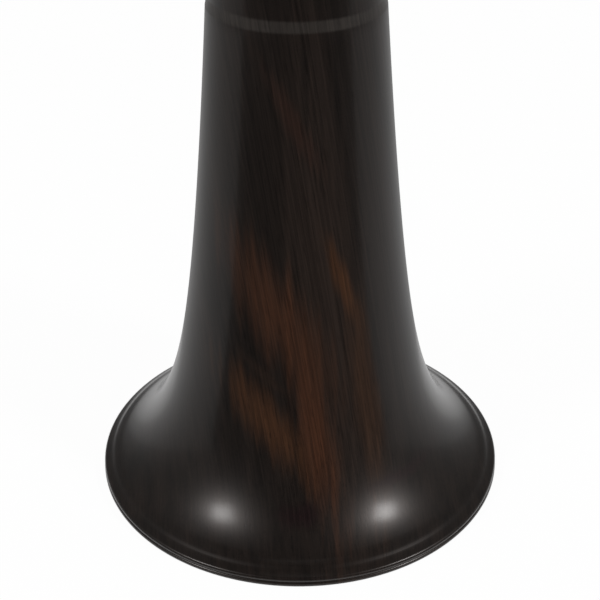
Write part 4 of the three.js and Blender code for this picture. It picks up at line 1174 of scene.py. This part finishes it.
scene.world = bpy.data.worlds.new("studio")
tree = cleared(scene.world)
level = add(tree, "ShaderNodeMapRange", values={"To Min": 0.4, "To Max": 1}, links={"Value": in_view(tree)})
sky = add(tree, "ShaderNodeBackground", values={"Color": (1, 1, 1, 1)}, links={"Strength": level})
add(tree, "ShaderNodeOutputWorld", links={"Surface": sky})


def grey_card(level):
    """Card of an even grey, white on its back, lit by its own glow so that no lamp spoils it."""
    made, tree = glowing("grey card")
    glow = add(tree, "ShaderNodeEmission", values={"Color": (level, level, level, 1), "Strength": 1})
    back = add(tree, "ShaderNodeEmission", values={"Strength": 1})
    side = add(tree, "ShaderNodeNewGeometry")
    either = add(tree, "ShaderNodeMixShader", links={0: side.outputs["Backfacing"], 1: glow, 2: back})
    add(tree, "ShaderNodeOutputMaterial", links={"Surface": either})
    return made


def card(name, level, columns, angles, rows, place):
    """A card seen only in reflections, swept between two angles, its rows placed by a rule.

    The angles are from straight behind the instrument, as the camera sees it.
    """
    points = []
    for i in range(rows + 1):
        for j in range(columns + 1):
            out, height = place(i / rows)
            angle = photo_side + angles[0] + (angles[1] - angles[0]) * j / columns
            points.append(axis - direction(angle) * out + UP * height)
    wide = columns + 1
    corners = [i * wide + j for i in range(rows) for j in range(columns)]
    made = sheet(name, points, [(at, at + wide, at + wide + 1, at + 1) for at in corners], grey_card(level))
    made.visible_camera = made.visible_diffuse = made.visible_shadow = made.visible_transmission = False


def along_floor(share):
    """Flat on the table, from close to the bell outwards, where it stands for the table's shadow: painted shade
    seen in reflections.
    """
    return 0.088 + 0.84 * share**2, 0.001


def under_camera(share):
    """Flat on the table in front, a little closer in."""
    return 0.062 + 0.86 * share**2, 0.001


def over_bell(share):
    """A low vault from the table up over the bell, open round the body."""
    rise = math.pi / 2 * share
    return 0.07 + 0.85 * math.cos(rise), 0.165 * math.sin(rise)


def standing(share):
    """An upright wall far off."""
    return 2.8, 2.6 * share


def overhead(share):
    """The top of a dome over the set."""
    rise = math.radians(38 + 52 * share)
    return 4 * math.cos(rise), 4 * math.sin(rise)


# Cards stand close round the bell, as a photographer sets them to shape black wood.
# The grey card on the table behind the bell is painted shade: the table's shadow round the bell, as the bell
# reflects it.
card("card_on_the_table", 0.5, 24, (-112, 112), 4, along_floor)
card("card_under_the_camera", 0.04, 16, (112, 248), 4, under_camera)
card("card_behind_the_set", 0.22, 24, (-118, 118), 9, over_bell)
card("card_behind_the_camera", 0.03, 16, (118, 242), 9, over_bell)
# Dark flags stand far round the set, and a grey one hangs over it, to draw the metal's shapes.
for i, (start, end, level) in enumerate((
    (-168, -128, 0.1), (-96, -72, 0.16), (-30, -12, 0.1), (22, 60, 0.2), (104, 122, 0.1), (150, 166, 0.12),
)):
    card(f"flag_{i + 1}", level, 8, (start, end), 2, standing)
card("card_overhead", 0.38, 24, (-180, 180), 6, overhead)


def aimed(name, data, place, roll=0.0):
    """A lamp or camera at a place, pointed at what the picture's middle shows."""
    made = put(name, data)
    made.location = place
    made.rotation_mode = "QUATERNION"
    tilt = Matrix.Rotation(roll, 3, "Z").to_quaternion()
    made.rotation_quaternion = (place - aim).to_track_quat("Z", "Y") @ tilt
    return made


aim = axis + UP * 52.66 * MM
lamp_away, lamp_rise = 1.9, math.radians(32)
# Two soft boxes, by their turn from the camera and their watts.
for side, power in ((-54.5, 16), (59, 20)):
    lamp = bpy.data.lights.new("soft box", "AREA")
    lamp.shape, lamp.size, lamp.size_y = "RECTANGLE", 0.36, 0.34
    lamp.energy = power
    out = direction(photo_side + side) * math.cos(lamp_rise)
    aimed("soft box", lamp, aim + (out + UP * math.sin(lamp_rise)) * lamp_away)

# The camera, in the photograph's pixels and in millimetres from the foot of the bore.
photo_width, focal_length, shift = 600, 1271.2, 1.23
camera_out, camera_up, camera_roll = 301.2, 238.9, -0.0077
camera = bpy.data.cameras.new("camera")
camera.sensor_width = 36
camera.lens = focal_length * camera.sensor_width / photo_width
camera.shift_x = shift / photo_width
camera_place = axis + polar(photo_side, camera_out, camera_up) * MM
scene.camera = aimed("camera", camera, camera_place, camera_roll)
scene.view_settings.view_transform = "Standard"
